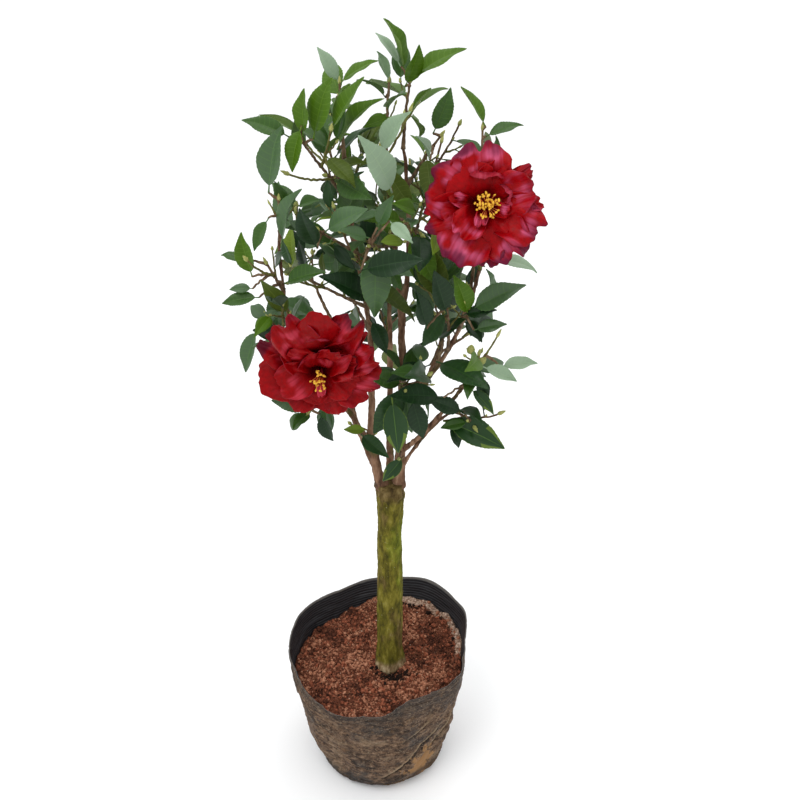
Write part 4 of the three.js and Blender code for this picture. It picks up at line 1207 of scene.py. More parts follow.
for name, shoots in shoots_of.items():
    for number, (curve, radii, _) in enumerate(shoots):
        add_shoot(twigs, curve, radii, rng, look=GREEN if number and rng.random() < GREEN_SHARE else BROWN)
        add_leaf_bud(curve.at(0.99), curve.heading(1), TIP_BUD)
    for _, twig, _ in leading_of[name]:
        if twig:
            add_shoot(twigs, twig, SHOOT["twig"], rng, look=BROWN)
    for curve, radii, leaves in fine_of[name]:
        add_shoot(twigs, curve, radii, rng, sides=6, look=GREEN)
        add_leaf_bud(curve.at(0.98), curve.heading(1), FINE_BUD)
    for leaf in leaves_of[name]:
        if rng.random() < SIDE_BUD_SHARE:
            aim = unit(leaf.aim + leaf.face * 0.9)
            add_leaf_bud(leaf.root + aim * 0.6, aim, SIDE_BUD)
for name, root, aim, length, radius in FLOWER_BUDS:
    root = vector(root)
    _, foot, axis, _ = nearest_on(shoots_of[name], root)
    add_shoot(twigs, Curve(foot, (foot + root) / 2 + axis * 2, root), BUD_STALK, rng, look=GREEN)
    add_bud(buds, root, unit(vector(aim)), length, radius, BUD)
twig_materials = [grained_look(*row) for row in TWIG_LOOKS]
twigs.make("twigs", twig_materials, (), "bough_bark")
buds.make("buds", twig_materials, (), "foliage")

# Boughs

BOUGH_STEP = 2.2
BOUGH_SIDES = 18
BOUGH_SLIM = 0.82
BOUGH_SEED = 300
# swelling of a bough: its share and length at the foot, and its share, spacing and length at the nodes
BOUGH_FOOT, BOUGH_FOOT_LENGTH = 0.3, 7
BOUGH_NODE, BOUGH_SPACING, BOUGH_NODE_LENGTH = 0.07, 34, 8
BOUGH_SWAY, BOUGH_SWAY_LENGTH = 0.4, 60


def add_bough(heap, name, seed):
    """A bough's swollen foot, nodes and bark"""
    curve = limbs[name][0]
    foot_radius, tip_radius = BOUGHS[name][4:]
    steps = math.ceil(curve.span / BOUGH_STEP)
    shares = np.arange(steps + 1) / steps
    along = shares * curve.span
    foot = 1 + BOUGH_FOOT * np.exp(-along / BOUGH_FOOT_LENGTH)
    radii = mix(foot_radius, tip_radius, shares) * foot * mix(1, BOUGH_SLIM, shares ** 0.5)
    from_node = (along + seed * 11) % BOUGH_SPACING - BOUGH_SPACING / 2
    nodes = 1 + BOUGH_NODE * np.exp(-from_node ** 2 / BOUGH_NODE_LENGTH)
    sway = waves(along[:, None] * np.ones((1, 3)), BOUGH_SWAY_LENGTH, seed)
    centres = curve.at(shares) + sway[:, None] * BOUGH_SWAY
    skin = rings_round(centres, radii, BOUGH_SIDES)
    relief = 0.22 * waves(skin * (1, 1, 0.3), 7, seed + 5) + 0.14 * waves(skin * (1, 1, 0.5), 2.6, seed + 9)
    heap.add(*tube(centres, (radii * nodes)[:, None] + relief, BOUGH_SIDES), 0)


def bough_look():
    bark = Look("bough_bark", (92, 66, 48), 0.82, 0.12)
    streak = bark.noise(120, detail=6, roughness=0.6, stretch=(1, 1, 0.3))
    patch = bark.noise(34, detail=3)
    stops = [(0.3, (52, 34, 25)), (0.45, (102, 74, 56)), (0.58, (138, 106, 84)), (0.78, (178, 148, 120))]
    green = bark.span(patch, 0.56, 0.72)
    bark.colour(bark.blend(green, bark.ramp(streak, stops), (76, 70, 34)))
    bark.bump((patch, 0.3, 0.002), (streak, 0.8, 0.0012))
    return bark.material


boughs = Heap()
for number, name in enumerate(BOUGHS):
    add_bough(boughs, name, BOUGH_SEED + number)
boughs.make("boughs", [bough_look()], list(BOUGHS), "bough_bark")

# The trunk

TRUNK_RINGS = 230
TRUNK_SIDES = 96
TRUNK_SMOOTHED = 9
TRUNK_BELOW_SOIL = 4
# bark of the trunk: height of the relief in mm, its stretch along the trunk, its length and its seed
BARK_LUMPS = [(0.55, 0.35, 24, 11), (0.25, 0.4, 9, 12)]
BARK_FINE = [(0.16, 0.35, 3.2, 13), (0.10, 1, 1.9, 14)]
BARK_CALLUS = [(1.1, 1, 13, 17), (0.5, 1, 6, 18)]
CRACK_DEPTH = 0.5
# the light top of the root plate and the foot of the swollen head, as heights in metres
PLATE_TOP = (0.146, 0.136)
HEAD_FOOT = (0.385, 0.402)
# shades of the bark along its streaks: places and display colours
ALGAE = [(0.3, (40, 38, 14)), (0.44, (82, 76, 24)), (0.56, (108, 100, 34)), (0.72, (144, 134, 66))]
BROWN_BARK = [(0.3, (46, 34, 18)), (0.45, (82, 66, 36)), (0.58, (108, 90, 54)), (0.74, (146, 126, 84))]
FRESH_ALGAE = [(0.3, (46, 50, 12)), (0.46, (86, 94, 22)), (0.6, (112, 120, 34)), (0.74, (146, 150, 66))]
PLATE = [(0.35, (84, 66, 44)), (0.5, (134, 112, 80)), (0.65, (186, 166, 132))]


def relief_of(skin, layers):
    """The sum of several layers of waves over a skin"""
    parts = [height * waves(skin * (1, 1, stretch), length, seed) for height, stretch, length, seed in layers]
    return sum(parts)


def trunk_mesh():
    """Points and faces of the trunk, with its cracked bark, root flare and swollen head"""
    curve = limbs["trunk"][0]
    shares = np.linspace(0, 1, TRUNK_RINGS)
    table = np.array(TRUNK["taper"])
    kernel = np.hanning(TRUNK_SMOOTHED)
    radii = np.pad(np.interp(shares, table[:, 0], table[:, 1]), TRUNK_SMOOTHED // 2, mode="edge")
    radii = np.convolve(radii, kernel / kernel.sum(), "valid")
    centres = curve.at(shares)
    centres[0, 2] -= TRUNK_BELOW_SOIL
    skin = rings_round(centres, radii, TRUNK_SIDES)
    angles = circle(TRUNK_SIDES)[None, :]
    height = shares[:, None]
    cracks = smooth(0.35, 0.0, np.abs(waves(skin * (1, 1, 0.28), 8, 15)))
    cracks = cracks * smooth(-0.4, 0.8, waves(skin, 40, 16))
    roots = 1.6 * np.maximum(0, np.cos(3 * angles + 0.6)) + 0.8 * np.cos(5 * angles + 2)
    relief = relief_of(skin, BARK_LUMPS + BARK_FINE) - CRACK_DEPTH * cracks
    relief = relief + smooth(0.10, 0.0, height) * roots
    relief = relief + smooth(0.88, 0.96, height) * relief_of(skin, BARK_CALLUS)
    return tube(centres, radii[:, None] + relief, TRUNK_SIDES)


def trunk_look():
    """Bark green with algae, browner in patches and at the head, with a light plate at the foot"""
    bark = Look("trunk_bark", (92, 88, 50), 0.88, 0.12)
    coarse = bark.noise(26, detail=4, stretch=(1, 1, 0.5))
    streak = bark.noise(140, detail=7, roughness=0.65, stretch=(1, 1, 0.35))
    speck = bark.noise(420, detail=3)
    algae, brown, fresh = [bark.ramp(streak, stops) for stops in (ALGAE, BROWN_BARK, FRESH_ALGAE)]
    greened = bark.blend(bark.span(coarse, 0.50, 0.36, 0, 0.8), algae, fresh)
    mottled = bark.blend(bark.span(coarse, 0.54, 0.66, 0, 0.85), greened, brown)
    height = bark.height()
    base = bark.span(height, *PLATE_TOP)
    ring = bark.ramp(streak, PLATE)
    based = bark.blend(base, mottled, ring)
    head = bark.span(height, *HEAD_FOOT)
    headed = bark.blend(head, based, brown)
    bark.colour(bark.blend(bark.span(speck, 0.66, 0.76), headed, (150, 146, 112)))
    bark.bump((coarse, 0.4, 0.003), (streak, 0.9, 0.0016), (speck, 0.4, 0.0006))
    return bark.material


trunk_heap = Heap()
trunk_heap.add(*trunk_mesh(), 0)
trunk_heap.make("trunk_skin", [trunk_look()], ["trunk"], "bark")

# Blooms

PETAL_ROWS = 26
PETAL_COLUMNS = 42
PETAL_STEPS = 200
PETAL_THICK = 0.7
RUFFLE = 1.75
HEART_RADIUS = 8


def petal_path(foot, length, open_from, open_to, s):
    """A petal's lean off its bloom's axis, and its places out from that axis and along it, at the shares s"""
    fine = np.linspace(0, 1, PETAL_STEPS)
    lean = np.radians(mix(open_from, open_to, fine ** 1.3))
    outs = foot[0] + np.concatenate([[0], np.cumsum(np.sin(lean[:-1]))]) * length / (PETAL_STEPS - 1)
    ups = foot[1] + np.concatenate([[0], np.cumsum(np.cos(lean[:-1]))]) * length / (PETAL_STEPS - 1)
    return np.interp(s, fine, lean), np.interp(s, fine, outs), np.interp(s, fine, ups)


def petal_lift(s, u, v, ruffle, phases, number):
    """Ruffles, side waves and fine crinkles of a petal, in mm off its smooth shape"""
    edge = np.clip(s, 0, 1) ** 1.8
    side = np.abs(v) ** 1.6
    ridge_lit = np.sin(u * 8.5 + phases[6] + np.sign(v) * 1.3)
    rippled = np.sin(v * 19 + phases[7] + 1.5 * np.sin(v * 5 + phases[1]))
    frill = ruffle * edge * (0.60 * np.sin(v * 4.3 + phases[4]) + 0.32 * np.sin(v * 8.6 + phases[5] + 2 * u))
    frill = frill + ruffle * 0.55 * side * ridge_lit * np.clip(s * 1.5, 0, 1)
    frill = frill + 0.10 * ruffle * smooth(0.62, 1, s) * rippled
    wrinkles = waves(np.stack([s * 30, v * 12, s * 0], -1), 9, number + 7)
    return frill + (0.16 * np.sin(v * 34 + phases[3]) * edge + 0.3 * wrinkles)


def petal_marks(s, v, length, width, mauve, dusk, phases, number):
    """Where a petal is dark at its margin, has a painted mauve sheen, and is painted darker towards its foot
    as shade
    """
    lump = waves(np.stack([v * width / 2, s * length, np.full_like(s, number * 7.0)], -1), 17, 900 + number)
    streak = 0.74 + 0.18 * np.sin(v * 23 + phases[2] + lump) + 0.12 * np.sin(v * 51 + phases[3])
    outer = np.exp(-((s - 0.78) / 0.24) ** 2)
    fringe = s + 0.14 * np.abs(v) ** 3 + 0.06 * lump + 0.02 * np.sin(v * 37 + phases[5])
    return {
        "rim": np.clip(dusk * smooth(0.70, 1.08, fringe) * mix(0.8, 1, streak), 0, 1),
        # painted sheen: a mauve-pink highlight in lumps and streaks over the outer part of the petal
        "glow": np.clip(mauve * outer * (0.62 + 0.5 * lump) * streak * (1 - 0.45 * np.abs(v) ** 3), 0, 1),
        # painted shade: the petal darkens towards its foot, deep in the bloom
        "deep": 1 - smooth(0.05, 0.55, s),
    }


def add_petal(heap, bloom, number, petal):
    """A petal. angle: its direction, 0 to the right and 90 up; foot: its start off the axis and along it;
    open_from and open_to: how far it leans off the bloom's axis at its foot and its rim, in degrees;
    mauve: how much painted sheen its outer part has, and dusk how dark its margin is"""
    angle, foot, length, width, open_from, open_to, cup, ruffle, notch, mauve, dusk = petal
    out = off_axis(bloom, math.radians(angle))
    beside = off_axis(bloom, math.radians(angle + 90))
    face = bloom["face"]
    rows = np.linspace(0, 1, PETAL_ROWS) ** 0.9
    u, v = np.meshgrid(rows, np.linspace(-1, 1, PETAL_COLUMNS), indexing="ij")
    phases = np.random.default_rng(number).uniform(0, TAU, 8)
    reach = 1 - 0.32 * np.abs(v) ** 3.0 - notch * np.exp(-((v - 0.15 * math.sin(phases[0])) / 0.16) ** 2)
    reach = reach + 0.030 * np.sin(v * 5 + phases[1]) + 0.012 * np.sin(v * 17 + phases[2])
    s = u * reach
    half = width / 2 * np.sin(np.clip(0.10 + 0.50 * s, 0, 1) * math.pi) ** 0.8
    half = half * (1 + 0.05 * np.sin(u * 9 + phases[3] + np.sign(v)))
    bow = cup * (1 - 0.8 * s) * 1.6
    bow = np.where(np.abs(bow) < 1e-3, 1e-3, bow)
    t = half * np.sin(v * bow) / bow
    rise = half * (1 - np.cos(v * bow)) / bow
    lift = rise + petal_lift(s, u, v, ruffle * RUFFLE, phases, number)
    leaned, outward, upward = petal_path(foot, length, open_from, open_to, s)
    r = outward - np.cos(leaned) * lift
    h = upward + np.sin(leaned) * lift
    points = bloom["centre"] + out * r[..., None] + face * h[..., None] + beside * t[..., None]
    inner = -out * np.cos(leaned)[..., None] + face * np.sin(leaned)[..., None]
    normal = np.cross(np.gradient(points, axis=1), np.gradient(points, axis=0))
    normal /= np.maximum(np.linalg.norm(normal, axis=-1), 1e-9)[..., None]
    normal = normal * np.sign((normal * inner).sum(-1).mean())
    under = points - normal * (PETAL_THICK * mix(1, 0.45, s))[..., None]
    both, faces = sheet(points, under)
    row, middle = PETAL_ROWS // 3, PETAL_COLUMNS // 2
    corner = points[row + 1, middle]
    across_cell = np.cross(corner - points[row, middle], points[row + 1, middle + 1] - corner)
    if across_cell.dot(inner[row, middle]) > 0:
        faces = [part[:, ::-1] for part in faces]
    marks = petal_marks(s, v, length, width, mauve, dusk, phases, number)
    marks = {name: np.concatenate([values.ravel(), values.ravel()]) for name, values in marks.items()}
    heap.add(both, faces, [0, 1, 1], **marks)


def petal_look(name, red, mauve, margin, dark):
    """Velvet red, with the painted mauve sheen, the dark margin and the painted shade at the foot that the
    petal's marks call for
    """
    petal = Look(name, red, 0.5, 0.1)
    fibre = petal.noise(300, detail=4)
    base = petal.ramp(fibre, [(0.3, tuple(int(c * 0.84) for c in red)), (0.7, red)])
    # the painted mauve sheen laid over the red
    lit = petal.blend(petal.span(petal.attribute("glow"), 0.08, 1, 0, 0.78), base, mauve)
    edged = petal.blend(petal.span(petal.attribute("rim"), 0.05, 0.9, 0, 0.9), lit, margin)
    # painted shade towards the petal's foot
    petal.colour(petal.blend(petal.span(petal.attribute("deep"), 0, 1, 0, 0.85), edged, dark))
    petal.rough(fibre, 0.36, 0.5)
    petal.bump((fibre, 0.35, 0.0006))
    return petal.material


# anther: share along it and radius as a share of its size
ANTHER = np.array([(-1, 0.2), (-0.55, 0.75), (0.1, 0.95), (0.7, 0.7), (1, 0.15)])
ANTHER_SIZE = (1.4, 2.2)
ANTHER_SLIM = 0.62
FILAMENT_RADII = (0.42, 0.42)


def stamens(heap, bloom, centre, count, reach, length, seed):
    """Filaments with yellow anthers, from a point off the bloom's axis"""
    rng = np.random.default_rng(seed)
    axes = [bloom["right"], bloom["upright"], bloom["face"]]
    base = bloom["centre"] + sum(axis * step for axis, step in zip(axes, centre))
    for _ in range(count):
        turn, far = rng.uniform(0, TAU), reach * rng.random() ** 0.7
        off = off_axis(bloom, turn) * far
        tall = length * rng.uniform(0.7, 1.1)
        root = base + off * 0.3
        tip = base + off + bloom["face"] * tall
        curve = Curve(root, (root + tip) / 2 + bloom["face"] * tall * 0.2 - off * 0.2, tip)
        heap.add(*thread(curve, FILAMENT_RADII, 5, 5), 0)
        aim = unit(rng.normal(size=3) + bloom["face"])
        size = rng.uniform(*ANTHER_SIZE)
        centres = tip + aim * (ANTHER[:, :1] * size)
        heap.add(*tube(centres, ANTHER[:, 1] * size * ANTHER_SLIM, 6), 1)


STAMEN_LOOKS = [
    ("filament", (214, 120, 62), 0.5, 0.5, 600, 2, (0.2, 0.0002)),
    ("anther", (226, 172, 34), 0.7, 0.5, 900, 2, (0.5, 0.0004),
     [(0.3, (196, 132, 18)), (0.7, (240, 196, 58))]),
]
# angle, foot, length, width, open_from, open_to, cup, ruffle, notch, mauve (painted sheen), dusk; outer ones
# first
RIGHT_PETALS = [
    (277, (5, -13), 56, 34, 45, 104, 0.30, 3.0, 0.10, 0.2, 1.3),
    (39, (5, -13), 54, 19, 40, 98, 0.60, 2.0, 0.02, 0.0, 0.7),
    (2, (5, -12), 54, 22, 40, 100, 0.60, 3.0, 0.10, 0.8, 0.4),
    (94, (5, -11), 57, 54, 38, 98, 0.22, 3.5, 0.20, 1.1, 0.9),
    (158, (5, -11), 55, 54, 38, 102, 0.25, 3.5, 0.08, 1.1, 1.2),
    (198, (5, -9), 55, 38, 42, 104, 0.35, 4.5, 0.10, 0.5, 1.3),
    (243, (5, -11), 59, 54, 42, 104, 0.25, 3.5, 0.06, 1.1, 1.1),
    (306, (5, -11), 58, 46, 42, 104, 0.30, 4.5, 0.12, 0.8, 1.2),
    (335, (5, -9), 58, 42, 40, 102, 0.30, 4.5, 0.10, 1.0, 0.9),
    (20, (5, -10), 50, 40, 35, 92, 0.50, 4.5, 0.10, 0.8, 0.7),
    (64, (5, -9), 42, 36, 35, 92, 0.40, 2.5, 0.06, 0.1, 0.1),
    (126, (4, -7), 40, 46, 34, 94, 0.30, 2.0, 0.06, 0.0, 0.0),
    (318, (4, -6), 34, 42, 38, 96, 0.30, 2.5, 0.08, 0.1, 0.0),
    (84, (28, -6), 26, 40, 20, -62, 0.80, 2.0, 0.04, 0.8, 0.0),
    (22, (26, -5), 22, 26, 10, -50, 0.90, 2.5, 0.08, 1.0, 0.0),
    (172, (10, 0), 22, 15, 42, 72, 0.90, 2.5, 0.20, 0.9, 0.0),
    (233, (7, 0), 35, 34, 38, 78, 0.80, 3.5, 0.12, 0.9, 0.0),
    (344, (9, 2), 20, 16, 34, 62, 1.00, 2.5, 0.10, 0.9, 0.0),
    (262, (4, 3), 24, 13, 26, 66, 1.00, 2.5, 0.10, 1.1, 0.0),
]
LEFT_PETALS = [
    (268, (5, -13), 45, 44, 45, 100, 0.20, 1.5, 0.03, 0.1, 0.5),
    (292, (5, -12), 50, 44, 45, 100, 0.20, 2.0, 0.04, 0.1, 0.2),
    (228, (5, -12), 52, 46, 45, 102, 0.25, 2.0, 0.04, 0.2, 0.2),
    (326, (5, -12), 56, 38, 42, 100, 0.35, 3.5, 0.10, 0.6, 0.6),
    (350, (5, -11), 60, 38, 40, 100, 0.35, 4.5, 0.10, 1.1, 0.7),
    (150, (5, -11), 64, 40, 38, 98, 0.35, 4.0, 0.10, 0.9, 1.4),
    (193, (5, -10), 60, 50, 42, 98, 0.35, 1.5, 0.02, 0.3, 0.1),
    (16, (5, -9), 60, 36, 35, 94, 0.40, 5.0, 0.10, 1.1, 0.6),
    (58, (5, -9), 77, 38, 32, 82, 0.40, 4.5, 0.10, 1.1, 0.9),
    (36, (5, -7), 66, 34, 32, 86, 0.50, 5.0, 0.10, 1.1, 0.6),
    (118, (5, -6), 76, 42, 30, 78, 0.45, 4.5, 0.08, 1.1, 0.6),
    (88, (8, -4), 72, 42, 30, 74, -0.50, 1.6, 0.02, 0.1, 0.0),
    (203, (5, -3), 45, 40, 32, 82, 0.90, 1.2, 0.02, 1.1, 0.0),
    (146, (5, -3), 44, 30, 26, 68, 0.90, 3.5, 0.06, 0.4, 0.2),
    (14, (5, -3), 46, 32, 24, 66, 1.00, 4.0, 0.08, 0.5, 0.0),
    (44, (5, -1), 48, 32, 18, 58, 1.00, 4.0, 0.08, 0.5, 0.0),
    (328, (5, -5), 40, 38, 36, 88, 0.40, 2.0, 0.04, 0.1, 0.0),
    (282, (5, -6), 36, 36, 38, 92, 0.40, 1.5, 0.03, 0.0, 0.0),
    (248, (5, -7), 38, 38, 38, 92, 0.40, 1.5, 0.03, 0.0, 0.1),
    (92, (38, 8), 22, 36, 10, -70, 0.80, 1.5, 0.04, 1.0, 0.0),
    (86, (-5, -7), 36, 38, 14, 66, 0.40, 3.5, 0.10, 0.8, 0.0),
    (272, (3, 6), 27, 10, 50, 98, 1.00, 1.5, 0.10, 1.5, 0.0),
]
# colours of a petal: red, mauve of its painted sheen, dark margin, painted shade at its foot
PETAL_COLOURS = {
    "petal_bloom_right": ((158, 0, 8), (200, 88, 124), (88, 14, 44), (80, 0, 3)),
    "petal_bloom_left": ((144, 0, 5), (188, 56, 74), (72, 9, 27), (58, 0, 2)),
    "petal_back": ((150, 28, 44), (184, 70, 92), (90, 16, 34), (100, 6, 16)),
}
# bloom: its petals and the seed of the first
PETALS = {"bloom_right": (RIGHT_PETALS, 0), "bloom_left": (LEFT_PETALS, 100)}
# the closed heart under the petals: place along the axis in mm and radius as a share
HEART_FROM, HEART_TO = -16, -5
HEART = np.array([3, 6, 8, 7.5, 6, 2.5]) / 8
# stamens: bloom, centre across, up and along its axis, count, reach, length, seed
STAMENS = [
    ("bloom_right", (3, -1, 2), 62, 11, 19, 5),
    ("bloom_left", (0, -9, 4), 22, 9, 20, 6),
]
STALK_RADII = (2.2, 2.6)
SEPALS = 5
SEPAL_LENGTH, SEPAL_RADIUS = 12, 4.5

petal_back = petal_look("petal_back", *PETAL_COLOURS["petal_back"])
for name, (petals, first) in PETALS.items():
    heap = Heap()
    for number, petal in enumerate(petals):
        add_petal(heap, blooms[name], first + number, petal)
    heart_places = np.linspace(HEART_FROM, HEART_TO, len(HEART))[:, None]
    heart = blooms[name]["centre"] + blooms[name]["face"] * heart_places
    # the heart is dark all over, as painted shade in the bloom's middle
    heap.add(*tube(heart, HEART * HEART_RADIUS, 16), 0, rim=0, glow=0, deep=1)
    petal_front = petal_look(f"petal_{name}", *PETAL_COLOURS[f"petal_{name}"])
    heap.make(f"{name}_petals", [petal_front, petal_back], [name], "petal")

stamen_heap = Heap()
for name, *stamen_row in STAMENS:
    stamens(stamen_heap, blooms[name], *stamen_row)
stamen_heap.make("stamens", [grained_look(*row) for row in STAMEN_LOOKS], (), "petal")

stalks = Heap()
for name, bloom in blooms.items():
    base = bloom["centre"] - bloom["face"] * BLOOM_DEPTH
    curve = Curve(bloom["foot"], (bloom["foot"] + base) / 2 - bloom["face"] * 6, base + bloom["face"] * 4)
    stalks.add(*thread(curve, STALK_RADII, 20, 10), GREEN)
    for turn in circle(SEPALS):
        out = off_axis(bloom, turn)
        root = base + bloom["face"] * 2 + out * 3
        add_bud(stalks, root, unit(out + bloom["face"] * 0.6), SEPAL_LENGTH, SEPAL_RADIUS, BUD)
stalks.make("bloom_stalks", twig_materials, (), "foliage")

# The bag

BAG_SIDES = 280
RIB_PITCH = 3.2
RIB_HEIGHT = 0.14
FILM_INSET = 1.6
FILM_TOP = 165
# rings of the film: heights of the wall outside, of the turned edge with its inset, and of the wall inside
FOOT_RINGS = [0, 1.5, 4]
WALL_RINGS = np.linspace(8, FILM_TOP, 150)
EDGE_RINGS = [(165.5, 0.4), (165.5, 1.0), (164.8, 1.5)]
INSIDE_RINGS = np.linspace(163, 104, 110)
INSIDE_CREASED = 0.96
OUTSIDE, EDGE, INSIDE = 0, 1, 2
# soft lumps and sharp creases of the film: height in mm, stretch, length and seed; a crease's width as well
FILM_LUMPS = [(1.3, (1, 1, 0.8), 60, 41), (0.45, (1, 1, 1), 15, 43)]
FILM_CREASES = [
    (1.6, (1, 1, 1.5), 44, 42, 0.5),
    (0.7, (0.8, 0.8, 1.8), 21, 44, 0.3),
    (0.55, (0.45, 0.45, 2.2), 15, 45, 0.35),
]
FILM_DRAWN_IN = 1.0
FILM_OUTERMOST = 1.4
COLLAR = {"heights": (118, 142), "offset": -0.7, "share": 0.75}
ANGLE_TO_MM = 100
# folds of the film: direction in radians, height in mm, slope, depth, width and half length along it
FOLDS = [
    (-0.93, 72, 0.80, 3.4, 3.6, 34),
    (-0.62, 70, 0.75, 3.0, 5.0, 34),
    (-1.28, 42, 0.65, 2.8, 3.0, 32),
    (-1.05, 100, 0.50, 2.4, 2.4, 30),
    (-1.75, 70, -0.10, 1.5, 2.2, 40),
    (-2.35, 96, -0.35, 1.8, 2.6, 40),
    (-2.5, 36, 0.25, 1.3, 2.2, 30),
    (0.4, 80, 0.5, 2.0, 2.8, 40),
    (1.5, 60, -0.4, 2.2, 3.0, 46),
    (2.6, 70, 0.45, 2.2, 2.8, 42),
]
# depth of a fold in mm at which its painted shade in the tuck and painted highlight on the ridge are full
FOLD_MARKED_AT = 4
# dried mud on the film: direction, height, spread about it in radians and in mm
MUD = [(-0.93, 34, 0.20, 22), (-0.75, 10, 0.30, 12), (-1.30, 6, 0.30, 7)]


def round_table(table, angle):
    """The value of a table of equal steps round the bag"""
    place = (angle / TAU % 1) * len(table)
    step = np.floor(place).astype(int)
    values = np.array(table, float)
    ease = smooth(0, 1, place - step)
    return mix(values[step % len(table)], values[(step + 1) % len(table)], ease)


def softened(radius, height, angle):
    """Pulls a point of the round bag to the soft bag's shape"""
    pull = radius * (round_table(RIM_RADII, angle) / BAG["rim_radius"] - 1) * (height / BAG["rim_height"])
    above = np.maximum(0, height - BAG["crease_height"]) / (BAG["rim_height"] - BAG["crease_height"])
    return radius + pull, height + above * (round_table(RIM_HEIGHTS, angle) - BAG["rim_height"])


def wall_radius(height):
    """Radius of the round bag, before it is softened"""
    rows = np.array([*BAG["section"], (BAG["rim_radius"], BAG["rim_height"])])
    return np.interp(height, rows[:, 1], rows[:, 0])


def on_bag(radius, height, angle):
    """A point of the soft bag, from its place on the round bag"""
    r, z = softened(radius, height, angle)
    return np.stack([r * np.cos(angle), r * np.sin(angle), z], -1)


def soil_edge(angle):
    """Height of the compost's edge on the round bag"""
    heap_up = np.maximum(0, np.cos(angle - SOIL["bank_direction"])) * SOIL["bank"]
    span = round_table(RIM_HEIGHTS, angle) - BAG["crease_height"]
    above = (SOIL["edge"] + heap_up - BAG["crease_height"]) / span
    return mix(BAG["crease_height"], BAG["rim_height"], above)


def from_direction(angle, direction):
    """The turn from a direction to an angle, the short way round"""
    return (angle - direction + math.pi) % TAU - math.pi


def fold_lines(angle, height):
    """Along the folds: how deep the film is tucked in, and how far the ridge above it stands out"""
    tuck, ridge = np.zeros(np.shape(height)), np.zeros(np.shape(height))
    for direction, middle, slope, depth, width, reach in FOLDS:
        along = from_direction(angle, direction) * ANGLE_TO_MM
        across = height - middle - slope * along
        near = np.exp(-(along / reach) ** 2) * depth
        tuck = tuck + near * np.exp(-(across / width) ** 2)
        ridge = ridge + near * np.exp(-((across - width * 1.6) / width) ** 2)
    return tuck, ridge


def creases(angle, height):
    """How far the crumpled film stands out from the smooth bag"""
    angle, height = np.broadcast_arrays(angle, height)
    place = np.stack([np.cos(angle) * ANGLE_TO_MM, np.sin(angle) * ANGLE_TO_MM, height], -1)
    tuck, ridge = fold_lines(angle, height)
    offset = 0.5 * ridge - tuck - FILM_DRAWN_IN
    for rise, stretch, length, seed in FILM_LUMPS:
        offset = offset + rise * waves(place * stretch, length, seed)
    for depth, stretch, length, seed, width in FILM_CREASES:
        offset = offset - depth * smooth(width, 0, np.abs(waves(place * stretch, length, seed)))
    collar = smooth(*COLLAR["heights"], height) * smooth(-0.35, 0.25, np.sin(angle))
    offset = mix(np.minimum(offset, FILM_OUTERMOST), COLLAR["offset"], COLLAR["share"] * collar)
    return offset * smooth(0, 14, height)


def bag_mesh():
    """Points, faces, materials and marks of the film, from the foot up, over the edge and down inside"""
    angles = circle(BAG_SIDES)
    rows = [(height, 0, OUTSIDE, 1) for height in [*FOOT_RINGS, *WALL_RINGS]]
    rows += [(height, inset, EDGE, 1) for height, inset in EDGE_RINGS]
    rows += [(height, FILM_INSET, INSIDE, INSIDE_CREASED) for height in INSIDE_RINGS]
    rings, ribs = [], []
    for height, inset, kind, creased in rows:
        radius = wall_radius(FILM_TOP if kind == EDGE else height) - inset
        rib = math.cos(height * TAU / RIB_PITCH)
        radius = radius + creases(angles, height) * creased + RIB_HEIGHT * rib * (kind != EDGE)
        rings.append(on_bag(radius, height, angles))
        ribs.append(np.full(BAG_SIDES, 0.5 + 0.5 * rib))
    points = np.array(rings)
    heights = points[..., 2]
    quads = grid_faces(len(rings), BAG_SIDES, closed=True)
    looks = np.array([kind for _, _, kind, _ in rows])[np.arange(len(quads)) // BAG_SIDES]
    floor = fan_faces(0, BAG_SIDES, len(rings) * BAG_SIDES, flip=True)
    muddy = np.zeros(heights.shape)
    for direction, middle, spread, rise in MUD:
        patch = np.exp(-(from_direction(angles, direction) / spread) ** 2)
        muddy = np.maximum(muddy, patch * np.exp(-((heights - middle) / rise) ** 2))
    folds = fold_lines(np.broadcast_to(angles, heights.shape), heights)
    # how far the painted shade of each tuck and the painted highlight of each ridge show
    tuck, ridge = [np.clip(fold / FOLD_MARKED_AT, 0, 1) for fold in folds]
    marks = {"mud": muddy, "fold": ridge, "tuck": tuck, "rib": np.array(ribs)}
    marks = {name: np.concatenate([values.ravel(), [0]]) for name, values in marks.items()}
    return np.concatenate([points.reshape(-1, 3), [[0, 0, 0.0]]]), [quads, floor], [looks, OUTSIDE], marks


